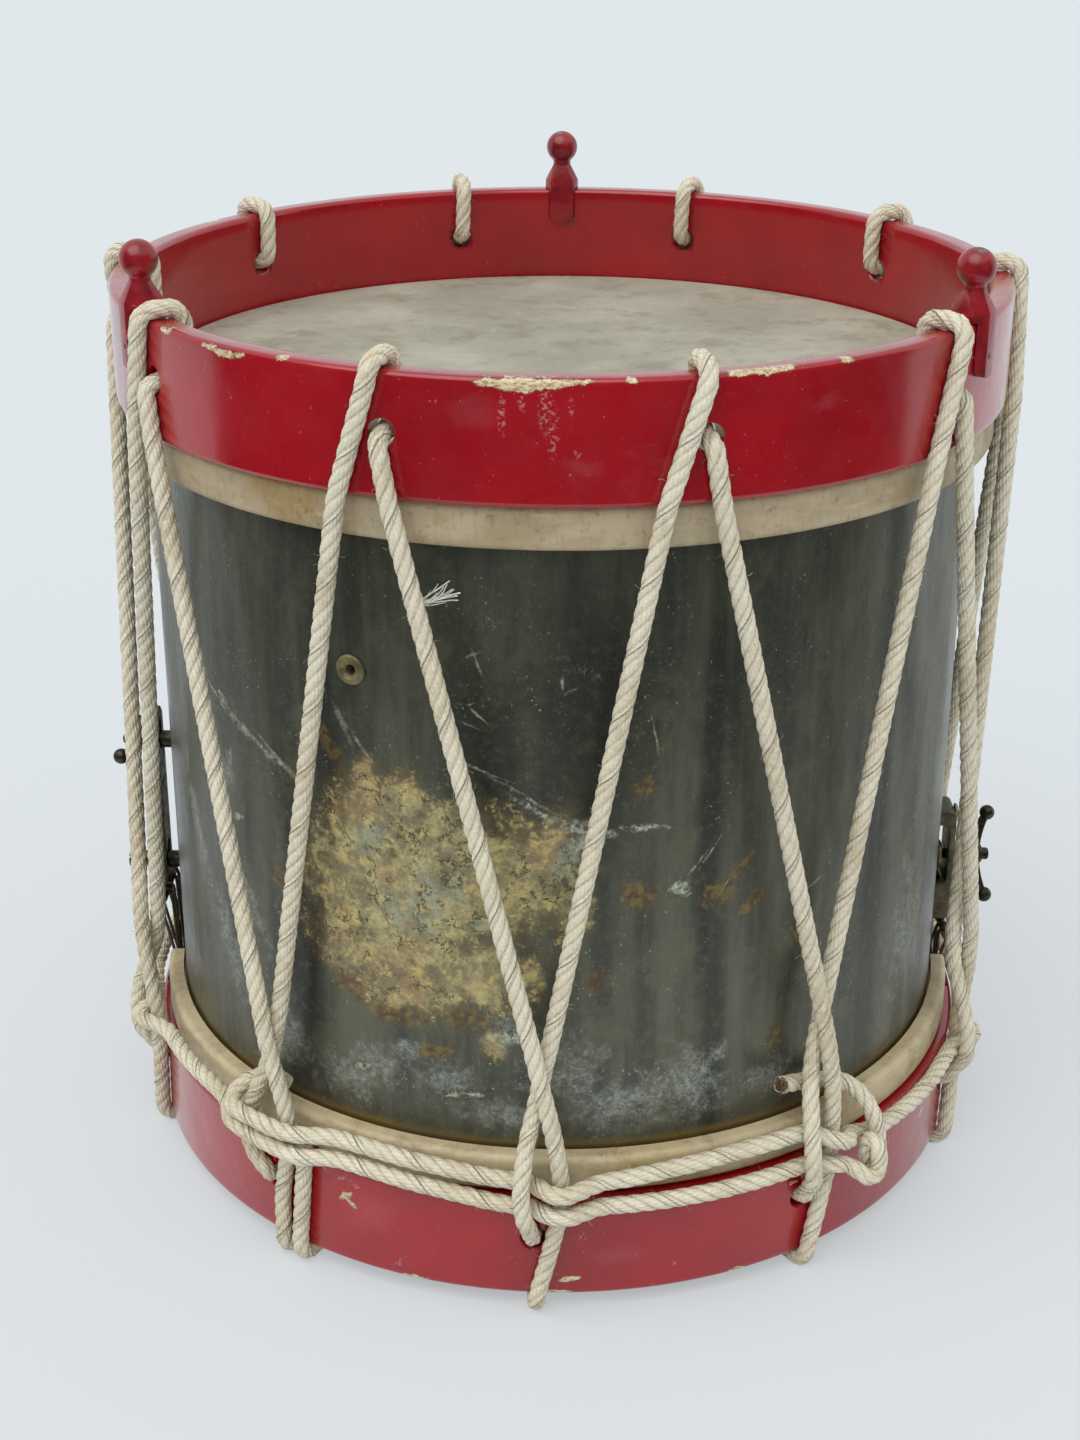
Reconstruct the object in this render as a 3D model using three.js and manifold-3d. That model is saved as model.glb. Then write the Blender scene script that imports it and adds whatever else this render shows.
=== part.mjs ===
// A rope-tension field drum: sheet-brass shell, calfskin heads, red wooden hoops, hemp lacing and gut snares.
// Millimetres, +Z up, origin on the floor at the middle of the drum, front towards -Y.
import * as THREE from "three";
import { mergeVertices } from "three/addons/utils/BufferGeometryUtils.js";
import Module from "manifold-3d";

const wasm = await Module();
wasm.setup();

// Driving sizes of the whole drum
const shellDiameter = 374;
const drumHeight = 411;
const hoopHeight = 50;
const hoopOverhangWidth = 13;
const hoopWallThickness = 11;
const hoopArrisRadius = 2.5;
const shellWallThickness = 1.2;
const shellHemHeight = 3;
const headLapDepth = 5;
const headThickness = 0.8;
const fleshHoopThickness = 7.3;
const fleshHoopHeight = 18;
const fleshHoopRoundRadius = 2;
const ropeDiameter = 7.5;
const ropeHoleDiameter = 11;
const topHoleDepth = 24;
const lowHoleHeight = 30;
const gutDiameter = 1.8;

// Clearances, overruns and the smoothness of round forms
const seatGap = 0.3;
const ropeGap = 0.5;
const cutOverLength = 5;
const ringFacets = 60;
const facetShare = Math.cos(Math.PI / ringFacets);
const boltFacets = 10;
const boltShare = Math.cos(Math.PI / boltFacets);
const weldTolerance = 1e-4;

// Levels and radii that several pieces share
const ropeRadius = ropeDiameter / 2;
const standFlat = ropeDiameter / 10;
const lowHoopBottom = seatGap + ropeDiameter - standFlat;
const lowHoopTop = lowHoopBottom + hoopHeight;
const topHoopTop = lowHoopBottom + drumHeight;
const topHoopBottom = topHoopTop - hoopHeight;
const shellRadius = shellDiameter / 2;
const hoopRadius = shellRadius + hoopOverhangWidth;
const hoopInside = hoopRadius - hoopWallThickness;
const topHead = topHoopBottom + headLapDepth;
const lowHead = lowHoopTop - headLapDepth;
const shellTop = topHead - headThickness - seatGap;
const shellBottom = lowHead + headThickness + seatGap;
const topHole = topHoopTop - topHoleDepth;
const lowHole = lowHoopBottom + lowHoleHeight;
const drumMiddle = (topHoopTop + lowHoopBottom) / 2;

// The lacing: ten equal units round the drum, azimuths in degrees from the front, growing to the right
const laceUnits = 10;
const lacePitch = 360 / laceUnits;
const hitchUnit = laceUnits - 1;
const topHoleAzimuth = -19.7;
const lowHoleAzimuth = -2.7;
const hitchHoleAzimuth = -3.4;

const paint = { color: 0x8c1420, roughness: 0.35, metalness: 0 };
const brass = { color: 0x5b5a48, roughness: 0.45, metalness: 0.8 };
const darkBrass = { color: 0x3e3c32, roughness: 0.55, metalness: 0.7 };
const skin = { color: 0xb3a48a, roughness: 0.7, metalness: 0 };
const hoopSkin = { color: 0xa28a64, roughness: 0.6, metalness: 0 };
const hemp = { color: 0xc9bba4, roughness: 0.9, metalness: 0 };
const gut = { color: 0x4a4236, roughness: 0.6, metalness: 0 };

const drum = new THREE.Group();

function addPiece(name, geometry, finish, parent = drum) {
  const mesh = new THREE.Mesh(geometry, new THREE.MeshStandardMaterial(finish));
  mesh.name = name;
  parent.add(mesh);
  return mesh;
}

// Booleans: a closed geometry becomes a solid, and a solid becomes a geometry again
function solidOf(geometry) {
  const bare = geometry.index ? geometry.toNonIndexed() : geometry.clone();
  bare.deleteAttribute("normal");
  bare.deleteAttribute("uv");
  const merged = mergeVertices(bare, weldTolerance);
  return new wasm.Manifold(new wasm.Mesh({
    numProp: 3,
    vertProperties: new Float32Array(merged.attributes.position.array),
    triVerts: new Uint32Array(merged.index.array),
  }));
}

function geometryOf(solid) {
  const mesh = solid.getMesh();
  const geometry = new THREE.BufferGeometry();
  geometry.setAttribute("position", new THREE.BufferAttribute(new Float32Array(mesh.vertProperties), 3));
  geometry.setIndex(new THREE.BufferAttribute(new Uint32Array(mesh.triVerts), 1));
  return geometry;
}

// Shapes that several pieces are made of
function box(x0, x1, y0, y1, z0, z1) {
  const geometry = new THREE.BoxGeometry(x1 - x0, y1 - y0, z1 - z0);
  return geometry.translate((x0 + x1) / 2, (y0 + y1) / 2, (z0 + z1) / 2);
}

// A turned form round the Z axis from [radius, height] points that close on themselves or on the axis
function turned(points, facets) {
  const outline = points.map(([r, z]) => new THREE.Vector2(r, z));
  const geometry = new THREE.LatheGeometry(outline, facets).rotateX(Math.PI / 2);
  const solid = solidOf(geometry);
  return solid.volume() < 0 ? turned([...points].reverse(), facets) : geometryOf(solid);
}

// The same round the X axis: a bolt, post or washer that stands out from the shell, [radius, distance] points
function turnedAlongX(points, facets = boltFacets) {
  return turned(points, facets).rotateY(Math.PI / 2);
}

function cylinderAlong(axis, radius, from, to, facets = boltFacets) {
  const geometry = new THREE.CylinderGeometry(radius, radius, to - from, facets);
  geometry.translate(0, (from + to) / 2, 0);
  if (axis === "x") geometry.rotateZ(-Math.PI / 2);
  if (axis === "z") geometry.rotateX(Math.PI / 2);
  return geometry;
}

function extrusion(outline, depth, curveSegments = 5) {
  return new THREE.ExtrudeGeometry(outline, { depth, bevelEnabled: false, curveSegments });
}

function polar(azimuth, radius, height) {
  const angle = THREE.MathUtils.degToRad(azimuth);
  return new THREE.Vector3(radius * Math.sin(angle), -radius * Math.cos(angle), height);
}

// An arc in the plane of radius and height: turns from one angle to another in equal steps
function arcPoints(centreRadius, centreHeight, reach, fromDegrees, toDegrees, steps) {
  const points = [];
  for (let i = 0; i <= steps; i += 1) {
    const angle = THREE.MathUtils.degToRad(fromDegrees + (toDegrees - fromDegrees) * (i / steps));
    points.push([centreRadius + reach * Math.cos(angle), centreHeight + reach * Math.sin(angle)]);
  }
  return points;
}

// One closed tube through a row of points, with a ring at each, square to the route there.
// Where a side direction is given, the rings keep it; otherwise they turn with the route.
function tube(route, radius, sides, sideAt) {
  const rings = [];
  let side = null;
  route.forEach((point, i) => {
    const before = route[Math.max(i - 1, 0)];
    const after = route[Math.min(i + 1, route.length - 1)];
    const inward = point.clone().sub(before).normalize();
    const outward = after.clone().sub(point).normalize();
    const along = inward.add(outward).normalize();
    if (sideAt) side = sideAt(point);
    else if (!side) side = Math.abs(along.z) > 0.5 ? new THREE.Vector3(1, 0, 0) : new THREE.Vector3(0, 0, 1);
    side = side.clone().addScaledVector(along, -side.dot(along)).normalize();
    const up = along.clone().cross(side);
    const ring = [];
    for (let k = 0; k < sides; k += 1) {
      const turn = (2 * Math.PI * k) / sides;
      ring.push(point.clone().addScaledVector(side, radius * Math.cos(turn))
        .addScaledVector(up, radius * Math.sin(turn)));
    }
    rings.push(ring);
  });
  const positions = [...rings.flat(), route[0], route[route.length - 1]].flatMap((p) => [p.x, p.y, p.z]);
  const startCap = rings.length * sides;
  const endCap = startCap + 1;
  const lastRing = (rings.length - 1) * sides;
  const index = [];
  for (let k = 0; k < sides; k += 1) {
    const next = (k + 1) % sides;
    for (let i = 0; i < rings.length - 1; i += 1) {
      const a = i * sides;
      const b = a + sides;
      index.push(a + k, a + next, b + k, a + next, b + next, b + k);
    }
    index.push(startCap, next, k, endCap, lastRing + k, lastRing + next);
  }
  const geometry = new THREE.BufferGeometry();
  geometry.setAttribute("position", new THREE.Float32BufferAttribute(positions, 3));
  geometry.setIndex(index);
  return geometry;
}

// The least gap of a tube to itself, measured on points along its route that lie further apart than its bends
function leastSelfGap(route, diameter) {
  const fine = [];
  let run = 0;
  route.forEach((point, i) => {
    if (i === 0) return;
    const from = route[i - 1];
    const length = from.distanceTo(point);
    const steps = Math.max(1, Math.ceil((length / diameter) * 2));
    for (let s = 0; s < steps; s += 1) {
      fine.push({ at: from.clone().lerp(point, s / steps), run: run + (length * s) / steps });
    }
    run += length;
  });
  let least = Infinity;
  for (let i = 0; i < fine.length; i += 1) {
    for (let j = i + 1; j < fine.length; j += 1) {
      if (fine[j].run - fine[i].run < diameter * 2.2) continue;
      least = Math.min(least, fine[i].at.distanceTo(fine[j].at));
    }
  }
  return least - diameter;
}

// Shell: one sheet of brass, its two edges hemmed inwards over a wire so that the heads bear on a round edge
const hemInside = shellRadius - shellHemHeight;
const shellOutline = [
  [shellRadius - shellWallThickness, shellBottom + shellHemHeight],
  [hemInside, shellBottom + shellHemHeight],
  [hemInside, shellBottom],
  [shellRadius - shellWallThickness, shellBottom],
  [shellRadius, shellBottom + shellWallThickness],
  [shellRadius, shellTop - shellWallThickness],
  [shellRadius - shellWallThickness, shellTop],
  [hemInside, shellTop],
  [hemInside, shellTop - shellHemHeight],
  [shellRadius - shellWallThickness, shellTop - shellHemHeight],
  [shellRadius - shellWallThickness, shellBottom + shellHemHeight],
];
let shell = solidOf(turned(shellOutline, ringFacets));

// Heads: a disc of calfskin drawn down over the shell's edge, with a collar inside the flesh hoop
const collarInside = shellRadius + seatGap;
const collarOutside = collarInside + headThickness;
function headOutline(face, inward) {
  const collarEnd = face + inward * (headLapDepth + seatGap + fleshHoopHeight);
  return [
    [0, face],
    [collarOutside - headThickness, face],
    [collarOutside, face + inward * headThickness],
    [collarOutside, collarEnd],
    [collarInside, collarEnd],
    [collarInside, face + inward * headThickness],
    [0, face + inward * headThickness],
  ];
}
addPiece("batter_head", turned(headOutline(topHead, -1), ringFacets), skin);
addPiece("snare_head", turned(headOutline(lowHead, 1), ringFacets), skin);

// Flesh hoops: flat bent-wood hoops with the skin lapped round them, pressed by the counter hoops
const fleshInside = collarOutside + seatGap;
const fleshOutside = fleshInside + fleshHoopThickness;
function fleshHoop(bottom) {
  const top = bottom + fleshHoopHeight;
  return turned([
    [fleshInside, bottom],
    [fleshOutside - fleshHoopRoundRadius, bottom],
    [fleshOutside, bottom + fleshHoopRoundRadius],
    [fleshOutside, top - fleshHoopRoundRadius],
    [fleshOutside - fleshHoopRoundRadius, top],
    [fleshInside, top],
    [fleshInside, bottom],
  ], ringFacets);
}
const lowFleshBottom = lowHoopTop + seatGap;
addPiece("batter_flesh_hoop", fleshHoop(topHoopBottom - seatGap - fleshHoopHeight), hoopSkin);

// Notches for the snares, left and right: deep on the flesh hoop's inside, open above
const gateWidth = 32;
const gateDepth = 4.5;
const gateSillHeight = 6;
const hoopGateHeight = 2 * headLapDepth;
let snareFleshHoop = solidOf(fleshHoop(lowFleshBottom));
for (const sign of [-1, 1]) {
  const inner = sign * (fleshInside - cutOverLength);
  const middle = sign * (fleshInside + gateDepth);
  const outer = sign * (fleshOutside + cutOverLength);
  const sill = lowFleshBottom + gateSillHeight;
  const above = lowFleshBottom + fleshHoopHeight + cutOverLength;
  const below = lowFleshBottom - cutOverLength;
  const half = gateWidth / 2;
  const relief = box(Math.min(inner, middle), Math.max(inner, middle), -half, half, below, above);
  const notch = box(Math.min(inner, outer), Math.max(inner, outer), -half, half, sill, above);
  snareFleshHoop = snareFleshHoop.subtract(solidOf(relief)).subtract(solidOf(notch));
}
addPiece("snare_flesh_hoop", geometryOf(snareFleshHoop), hoopSkin);

// Counter hoops: bent ash, 50 deep, edges rounded, with ten rope holes half way up
function counterHoop(bottom) {
  const top = bottom + hoopHeight;
  const corner = hoopRadius - hoopArrisRadius;
  const innerCorner = hoopInside + hoopArrisRadius;
  return solidOf(turned([
    ...arcPoints(innerCorner, bottom + hoopArrisRadius, hoopArrisRadius, 180, 270, 1),
    ...arcPoints(corner, bottom + hoopArrisRadius, hoopArrisRadius, 270, 360, 1),
    ...arcPoints(corner, top - hoopArrisRadius, hoopArrisRadius, 0, 90, 1),
    ...arcPoints(innerCorner, top - hoopArrisRadius, hoopArrisRadius, 90, 180, 1),
    [hoopInside, bottom + hoopArrisRadius],
  ], ringFacets));
}

function ropeHole(azimuth, height) {
  const radius = ropeHoleDiameter / 2 / boltShare;
  const hole = cylinderAlong("x", radius, hoopInside - cutOverLength, hoopRadius + cutOverLength);
  hole.rotateZ(THREE.MathUtils.degToRad(azimuth - 90));
  return solidOf(hole.translate(0, 0, height));
}

let batterHoop = counterHoop(topHoopBottom);
let snareHoop = counterHoop(lowHoopBottom);
for (let unit = 0; unit < laceUnits; unit += 1) {
  const lowAzimuth = unit === hitchUnit ? hitchHoleAzimuth : lowHoleAzimuth;
  batterHoop = batterHoop.subtract(ropeHole(topHoleAzimuth + lacePitch * unit, topHole));
  snareHoop = snareHoop.subtract(ropeHole(lowAzimuth + lacePitch * unit, lowHole));
}
for (const sign of [-1, 1]) {
  const inner = sign * (hoopInside - cutOverLength);
  const middle = sign * (fleshInside + gateDepth);
  const half = gateWidth / 2;
  const gate = box(Math.min(inner, middle), Math.max(inner, middle), -half, half,
    lowHoopTop - hoopGateHeight, lowHoopTop + cutOverLength);
  snareHoop = snareHoop.subtract(solidOf(gate));
}
addPiece("batter_counter_hoop", geometryOf(batterHoop), paint);
addPiece("snare_counter_hoop", geometryOf(snareHoop), paint);

// Rope levels: a strand on the hoop's face lies at layer 0, and one laid over it at layer 1.
// Routes' heights are counted in hoop heights up from the drum's foot, or where negative down from its top.
const faceRadius = hoopRadius + seatGap + ropeRadius;
const layerPitch = ropeDiameter + ropeGap;
const turnReach = seatGap + ropeRadius;
const insideWall = hoopInside * facetShare;
const ropeSides = 6;

function layPoint(azimuth, heightShare, layer) {
  const from = heightShare < 0 ? topHoopTop : lowHoopBottom;
  return polar(azimuth, faceRadius + layer * layerPitch, from + heightShare * hoopHeight);
}

// The rope's turn round a hoop's edge or a hole's edge, while its azimuth drifts from one value to another
function edgeTurn(centreRadius, centreHeight, reach, fromDegrees, toDegrees, steps, azimuths) {
  return arcPoints(centreRadius, centreHeight, reach, fromDegrees, toDegrees, steps)
    .map(([r, z], i) => polar(THREE.MathUtils.lerp(azimuths[0], azimuths[1], i / steps), r, z));
}

function roundHoopEdge(edge, down, azimuths) {
  const sign = down ? -1 : 1;
  const outer = hoopRadius - hoopArrisRadius;
  const inner = insideWall + hoopArrisRadius;
  const middle = THREE.MathUtils.lerp(azimuths[0], azimuths[1], 0.5);
  const reach = hoopArrisRadius + turnReach;
  const centre = edge - sign * hoopArrisRadius;
  return [
    ...edgeTurn(outer, centre, reach, 0, sign * 90, 3, [azimuths[0], middle]),
    ...edgeTurn(inner, centre, reach, sign * 90, sign * 180, 3, [middle, azimuths[1]]),
  ];
}

// Through a hole from the inside: the rope hugs the inner edge that it comes over, then the outer edge
function throughHole(hole, fromAbove, azimuths) {
  const sign = fromAbove ? 1 : -1;
  const rim = ropeHoleDiameter / 2;
  return [
    ...edgeTurn(insideWall, hole + sign * rim, turnReach, 180, 180 + sign * 90, 2,
      [azimuths[0], azimuths[0]]),
    ...edgeTurn(hoopRadius, hole - sign * rim, turnReach, sign * 90, 0, 2, [azimuths[0], azimuths[1]]),
  ];
}

// Strand up from a lower hole to the upper rim: in front of the trailing rope, behind at the crossing
const riseRoute = [
  [-3.1, 0.82, 0.5], [-3.5, 0.92, 1.0], [-3.9, 1.08, 1.04], [-4.0, 1.3, 0.93],
  [-3.4, 1.66, 0.2], [-2.6, 1.9, -0.36], [-1.8, 2.2, -0.57], [-0.9, 2.5, -0.58], [11.3, -1, 0],
];
// The same strand where it stands close beside the left peg
const pegRiseRoute = [...riseRoute.slice(0, -1), [12.6, -1, 0], [14.0, -0.52, 0]];
// The same strand beside the hitch, where it bulges to the left and stays behind the trailing rope
const hitchRiseRoute = [
  [-5.3, 0.76, 0], [-6.6, 0.88, 0], [-7.0, 1.04, 0], [-6.3, 1.22, 0], [-5.2, 1.42, 0.03], [-3.8, 1.65, 0.02],
  [-2.6, 1.9, -0.38], [-1.8, 2.2, -0.57], [-0.9, 2.5, -0.58], [11.3, -1, 0],
];
// Strand down from an upper hole to the lower edge: in front at the crossing, behind the trailing rope
const fallRoute = [
  [-18.5, -1, 0], [-2.7, 2.56, 0.36], [-1.6, 2.2, 0.48], [-0.5, 1.84, 0.4], [0.3, 1.48, 0.18],
  [0.7, 1.2, 0], [0.7, 0.96, 0], [-0.8, 0.46, 0], [-1.9, 0.14, 0],
];
// The same strand at the hitch, where it runs down steeper
const hitchFallRoute = [
  [-18.5, -1, 0], [-2.7, 2.56, 0.36], [-1.6, 2.2, 0.48], [-0.5, 1.84, 0.36], [0.3, 1.48, 0.08],
  [0.6, 1.3, 0], [0.4, 1.0, 0], [-0.4, 0.76, 0], [-1.0, 0.5, 0], [-1.1, 0.14, 0],
];
// The rope's last end: turned round inside the lower hoop, up its face again, behind the trailing rope
const lastFootAzimuths = [-1.1, 1.7];
const lastTurnShare = 0.34;
const tuckRoute = [[1.7, 0.14, 0], [2.2, 0.45, 0], [2.6, 0.76, 0], [3.0, 1.0, 0], [3.1, 1.2, 0]];

const rimAzimuths = [15.4, 16.1];
const upperHoleAzimuths = [16.3, 16.5];
const footAzimuths = [-2.2, -2.7];
const stubShare = 0.18;
const stubLean = -1.4;
const pegUnit = laceUnits - 2;

function lacingRoute() {
  const route = [];
  for (let i = 0; i < laceUnits; i += 1) {
    const unit = (hitchUnit + i) % laceUnits;
    const base = lacePitch * unit;
    const isFirst = i === 0;
    const isLast = i === laceUnits - 1;
    const shifted = (azimuths) => azimuths.map((a) => a + base);
    const hole = isFirst ? hitchHoleAzimuth : lowHoleAzimuth;
    const lay = (rows, turn = base) => route.push(...rows.map(([a, h, l]) => layPoint(a + turn, h, l)));
    if (isFirst) {
      const stub = insideWall - turnReach;
      route.push(polar(hole + base + stubLean, stub, lowHoopBottom + stubShare * hoopHeight));
    }
    route.push(...throughHole(lowHole, false, shifted([hole, hole - 0.3])));
    lay(isFirst ? hitchRiseRoute : unit === pegUnit ? pegRiseRoute : riseRoute);
    route.push(...roundHoopEdge(topHoopTop, false, shifted(rimAzimuths)));
    route.push(...throughHole(topHole, true, shifted(upperHoleAzimuths)));
    lay(isLast ? hitchFallRoute : fallRoute, base + lacePitch);
    if (!isLast) {
      route.push(...roundHoopEdge(lowHoopBottom, true, shifted(footAzimuths.map((a) => a + lacePitch))));
      continue;
    }
    const [down, up] = lastFootAzimuths.map((a) => a + base + lacePitch);
    const turnLevel = lowHoopBottom + lastTurnShare * hoopHeight;
    const within = insideWall - turnReach;
    const turnRadius = (THREE.MathUtils.degToRad(up - down) * within) / 2;
    route.push(...roundHoopEdge(lowHoopBottom, true, [down, down]));
    for (let step = 0; step <= 4; step += 1) {
      const angle = Math.PI * (step / 4);
      const azimuth = THREE.MathUtils.lerp(down, up, (1 - Math.cos(angle)) / 2);
      route.push(polar(azimuth, within, turnLevel + turnRadius * Math.sin(angle)));
    }
    route.push(...roundHoopEdge(lowHoopBottom, true, [up, up]).reverse());
    lay(tuckRoute, base + lacePitch);
  }
  return route;
}

const lacing = lacingRoute();
const sideways = (point) => new THREE.Vector3(-point.y, point.x, 0).normalize();
const floorCut = box(-shellDiameter, shellDiameter, -shellDiameter, shellDiameter,
  -cutOverLength - ropeDiameter, 0);
const lacingSolid = solidOf(tube(lacing, ropeRadius, ropeSides, sideways)).subtract(solidOf(floorCut));
addPiece("tension_rope", geometryOf(lacingSolid), hemp);
console.log(`tension_rope least gap to itself ${leastSelfGap(lacing, ropeDiameter).toFixed(2)} mm`);

// Trailing rope: from behind the left V along the front as the upper strand, once round the drum, along the
// front again as the lower strand, and into the knot at the right V. At each V it goes behind and in front.
const tailStart = [
  [-36.4, 1.6, -1.0], [-38.5, 1.59, -1.05], [-41.1, 1.57, -1.05], [-42.9, 1.53, -0.65], [-44.0, 1.45, 0],
  [-44.1, 1.39, 0.5], [-43.0, 1.35, 0.98], [-41.2, 1.34, 1.06], [-38.2, 1.34, 1.02], [-35.3, 1.335, 1.02],
  [-33, 1.33, 0.8], [-30.6, 1.33, 0.2], [-28.2, 1.33, -0.2],
];
const upperFront = [[-18, 1.3, -0.2], [-8, 1.24, -0.2], [-5.6, 1.23, -0.2]];
const weave = [
  [-3.9, 0], [-2.9, 0.05], [-1.6, 0.5], [-0.5, 0.93], [0.7, 1.05], [1.9, 0.93], [3.6, 0.45], [5.6, 0],
];
const upperKnot = [
  [8.5, 1.23, -0.2], [17, 1.3, -0.2], [28, 1.33, -0.2], [30.5, 1.33, -0.2], [32.1, 1.32, -0.2],
  [33.1, 1.31, -0.13], [34.2, 1.29, 0.34], [35.4, 1.265, 0.95], [36.7, 1.22, 1.07], [37.6, 1.2, 1.0],
  [38.4, 1.17, 0.65], [39.2, 1.145, 0.15], [40.2, 1.12, 0], [42, 1.07, 0], [44, 1.03, 0], [48, 1.0, 0.02],
  [54, 1.0, 0.05], [60, 1.0, 0.03],
];
const singleVeeAzimuths = [72, 108, 144, 180, 216, 252, 288];
const spanAzimuths = [14, 23.5];
const spanLiftShare = 0.06;
const singleLevelShares = [1.0, 1.02, 1.05, 1.09, 1.13, 1.17, 1.21];
const lowerStart = [
  [300, 1.22, -0.15], [306, 1.22, -0.15], [312.3, 1.215, -0.05], [314.3, 1.2, 0.3], [315.9, 1.185, 0.87],
  [317.4, 1.17, 1.03], [321, 1.15, 1.02], [324.7, 1.145, 1.02], [327, 1.14, 1.03], [328.4, 1.138, 0.9],
  [330, 1.135, 0.35], [332, 1.13, -0.05], [342, 1.1, 0], [352, 1.02, 0], [354.4, 1.0, 0],
];
const lowerKnot = [
  [368.5, 0.99, 0], [374, 0.995, 0.02], [380, 1.0, 0.05], [386, 1.0, 0.02], [392.1, 1.0, 0],
  [393.3, 1.0, 0.03], [394.4, 1.0, 0.47],
  [395.6, 1.0, 0.9], [396.7, 0.99, 1.05], [397.5, 0.965, 1.3], [398.1, 0.92, 1.75], [398.7, 0.87, 2.05],
  [399.5, 0.855, 2.15], [400.2, 0.885, 2.15], [400.4, 0.96, 2.15], [400.4, 1.06, 2.12], [400.4, 1.15, 1.95],
  [400.4, 1.18, 1.62], [400.4, 1.15, 1.27], [400.4, 1.06, 1.13], [400.4, 0.98, 1.12], [400.8, 0.91, 1.12],
  [401.6, 0.88, 1.12], [402.4, 0.91, 1.12], [402.7, 0.98, 1.12], [402.7, 1.16, 1.0], [402.4, 1.36, 0.55],
  [401.2, 1.54, -0.1], [399.4, 1.65, -0.55], [397.4, 1.69, -0.9], [395, 1.72, -1.07], [392.6, 1.76, -1.08],
  [390.8, 1.8, -0.9], [389.4, 1.84, -0.65],
];

function trailingRoute() {
  const sunk = (height) => -0.2 * THREE.MathUtils.clamp((height - 1) / 0.1, 0, 1);
  const vee = (azimuth, height) => weave.map(([a, l]) => [azimuth + a, height, l + sunk(height) * (1 - l)]);
  const rows = [...tailStart, ...upperFront, ...vee(0, 1.215), ...upperKnot];
  singleVeeAzimuths.forEach((azimuth, i) => {
    const level = singleLevelShares[i];
    const next = (level + (singleLevelShares[i + 1] ?? lowerStart[0][1])) / 2;
    const lastVee = i === singleVeeAzimuths.length - 1;
    rows.push(...vee(azimuth, level));
    if (!lastVee) rows.push(...spanAzimuths.map((a) => [azimuth + a, next, spanLiftShare + sunk(next)]));
  });
  rows.push(...lowerStart, ...vee(360, 0.99), ...lowerKnot);
  return rows.map(([a, h, l]) => layPoint(a, h, l));
}

const trailing = trailingRoute();
addPiece("trailing_rope", tube(trailing, ropeRadius, ropeSides), hemp);
console.log(`trailing_rope least gap to itself ${leastSelfGap(trailing, ropeDiameter).toFixed(2)} mm`);

// Rim pegs: octagonal, with a turned ball and neck, slotted to straddle the top hoop, the outer leg longer
const pegWidth = 17;
const pegShoulderHeight = 4;
const pegTaperHeight = 8.5;
const pegNeckDiameter = 9;
const pegNeckLength = 2;
const pegBallDiameter = 16;
const pegOuterLegLength = 23;
const pegInnerLegLength = 17.5;
const pegOuterLegThickness = 3.6;
const pegFacets = 8;

function rimPeg() {
  const outerFace = hoopRadius + seatGap + pegOuterLegThickness;
  const middle = outerFace - pegWidth / 2;
  const across = pegWidth / 2 / Math.cos(Math.PI / pegFacets);
  const neck = pegNeckDiameter / 2;
  const topOfBody = topHoopTop + pegShoulderHeight;
  const neckBase = topOfBody + pegTaperHeight;
  const ballCentre = neckBase + pegNeckLength + Math.sqrt((pegBallDiameter / 2) ** 2 - neck ** 2);
  const bottom = topHoopTop - pegOuterLegLength;
  const eighth = Math.PI / pegFacets;
  const turnedBody = turned([[0, bottom], [across, bottom], [across, topOfBody], [neck, neckBase],
    [neck, ballCentre], [0, ballCentre]], pegFacets).rotateZ(eighth).translate(middle, 0, 0);
  const ball = new THREE.SphereGeometry(pegBallDiameter / 2, 14, 9).rotateX(Math.PI / 2);
  ball.translate(middle, 0, ballCentre);
  const slotInner = hoopInside * facetShare - seatGap;
  const slotOuter = hoopRadius + seatGap;
  const slot = box(slotInner, slotOuter, -pegWidth, pegWidth, bottom - cutOverLength, topHoopTop + seatGap);
  const shortLeg = box(middle - pegWidth, slotOuter, -pegWidth, pegWidth, bottom - cutOverLength,
    topHoopTop - pegInnerLegLength);
  return solidOf(turnedBody).add(solidOf(ball)).subtract(solidOf(slot)).subtract(solidOf(shortLeg));
}

// The legs' ends are rounded by keeping only what lies inside a half-round outline
function roundedLegs(solid) {
  const half = pegWidth / 2;
  const legEnd = (reach, from, to) => {
    const outline = new THREE.Shape();
    outline.absarc(0, topHoopTop - reach + half, half, Math.PI, 2 * Math.PI, false);
    outline.lineTo(half, topHoopTop + pegBallDiameter + pegOuterLegLength);
    outline.lineTo(-half, topHoopTop + pegBallDiameter + pegOuterLegLength);
    const geometry = extrusion(outline, to - from);
    return solidOf(geometry.rotateX(Math.PI / 2).rotateZ(Math.PI / 2).translate(from, 0, 0));
  };
  const split = (hoopInside + hoopRadius) / 2;
  const keepOuter = legEnd(pegOuterLegLength, split, hoopRadius + pegWidth);
  const keepInner = legEnd(pegInnerLegLength, hoopInside - pegWidth, split);
  return solid.intersect(keepOuter.add(keepInner));
}

const pegAzimuths = { rim_peg_left: -61.5, rim_peg_right: 58.5, rim_peg_back: 180 };
for (const [name, azimuth] of Object.entries(pegAzimuths)) {
  const geometry = geometryOf(roundedLegs(rimPeg()));
  addPiece(name, geometry, paint).rotation.z = THREE.MathUtils.degToRad(azimuth - 90);
}

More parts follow.
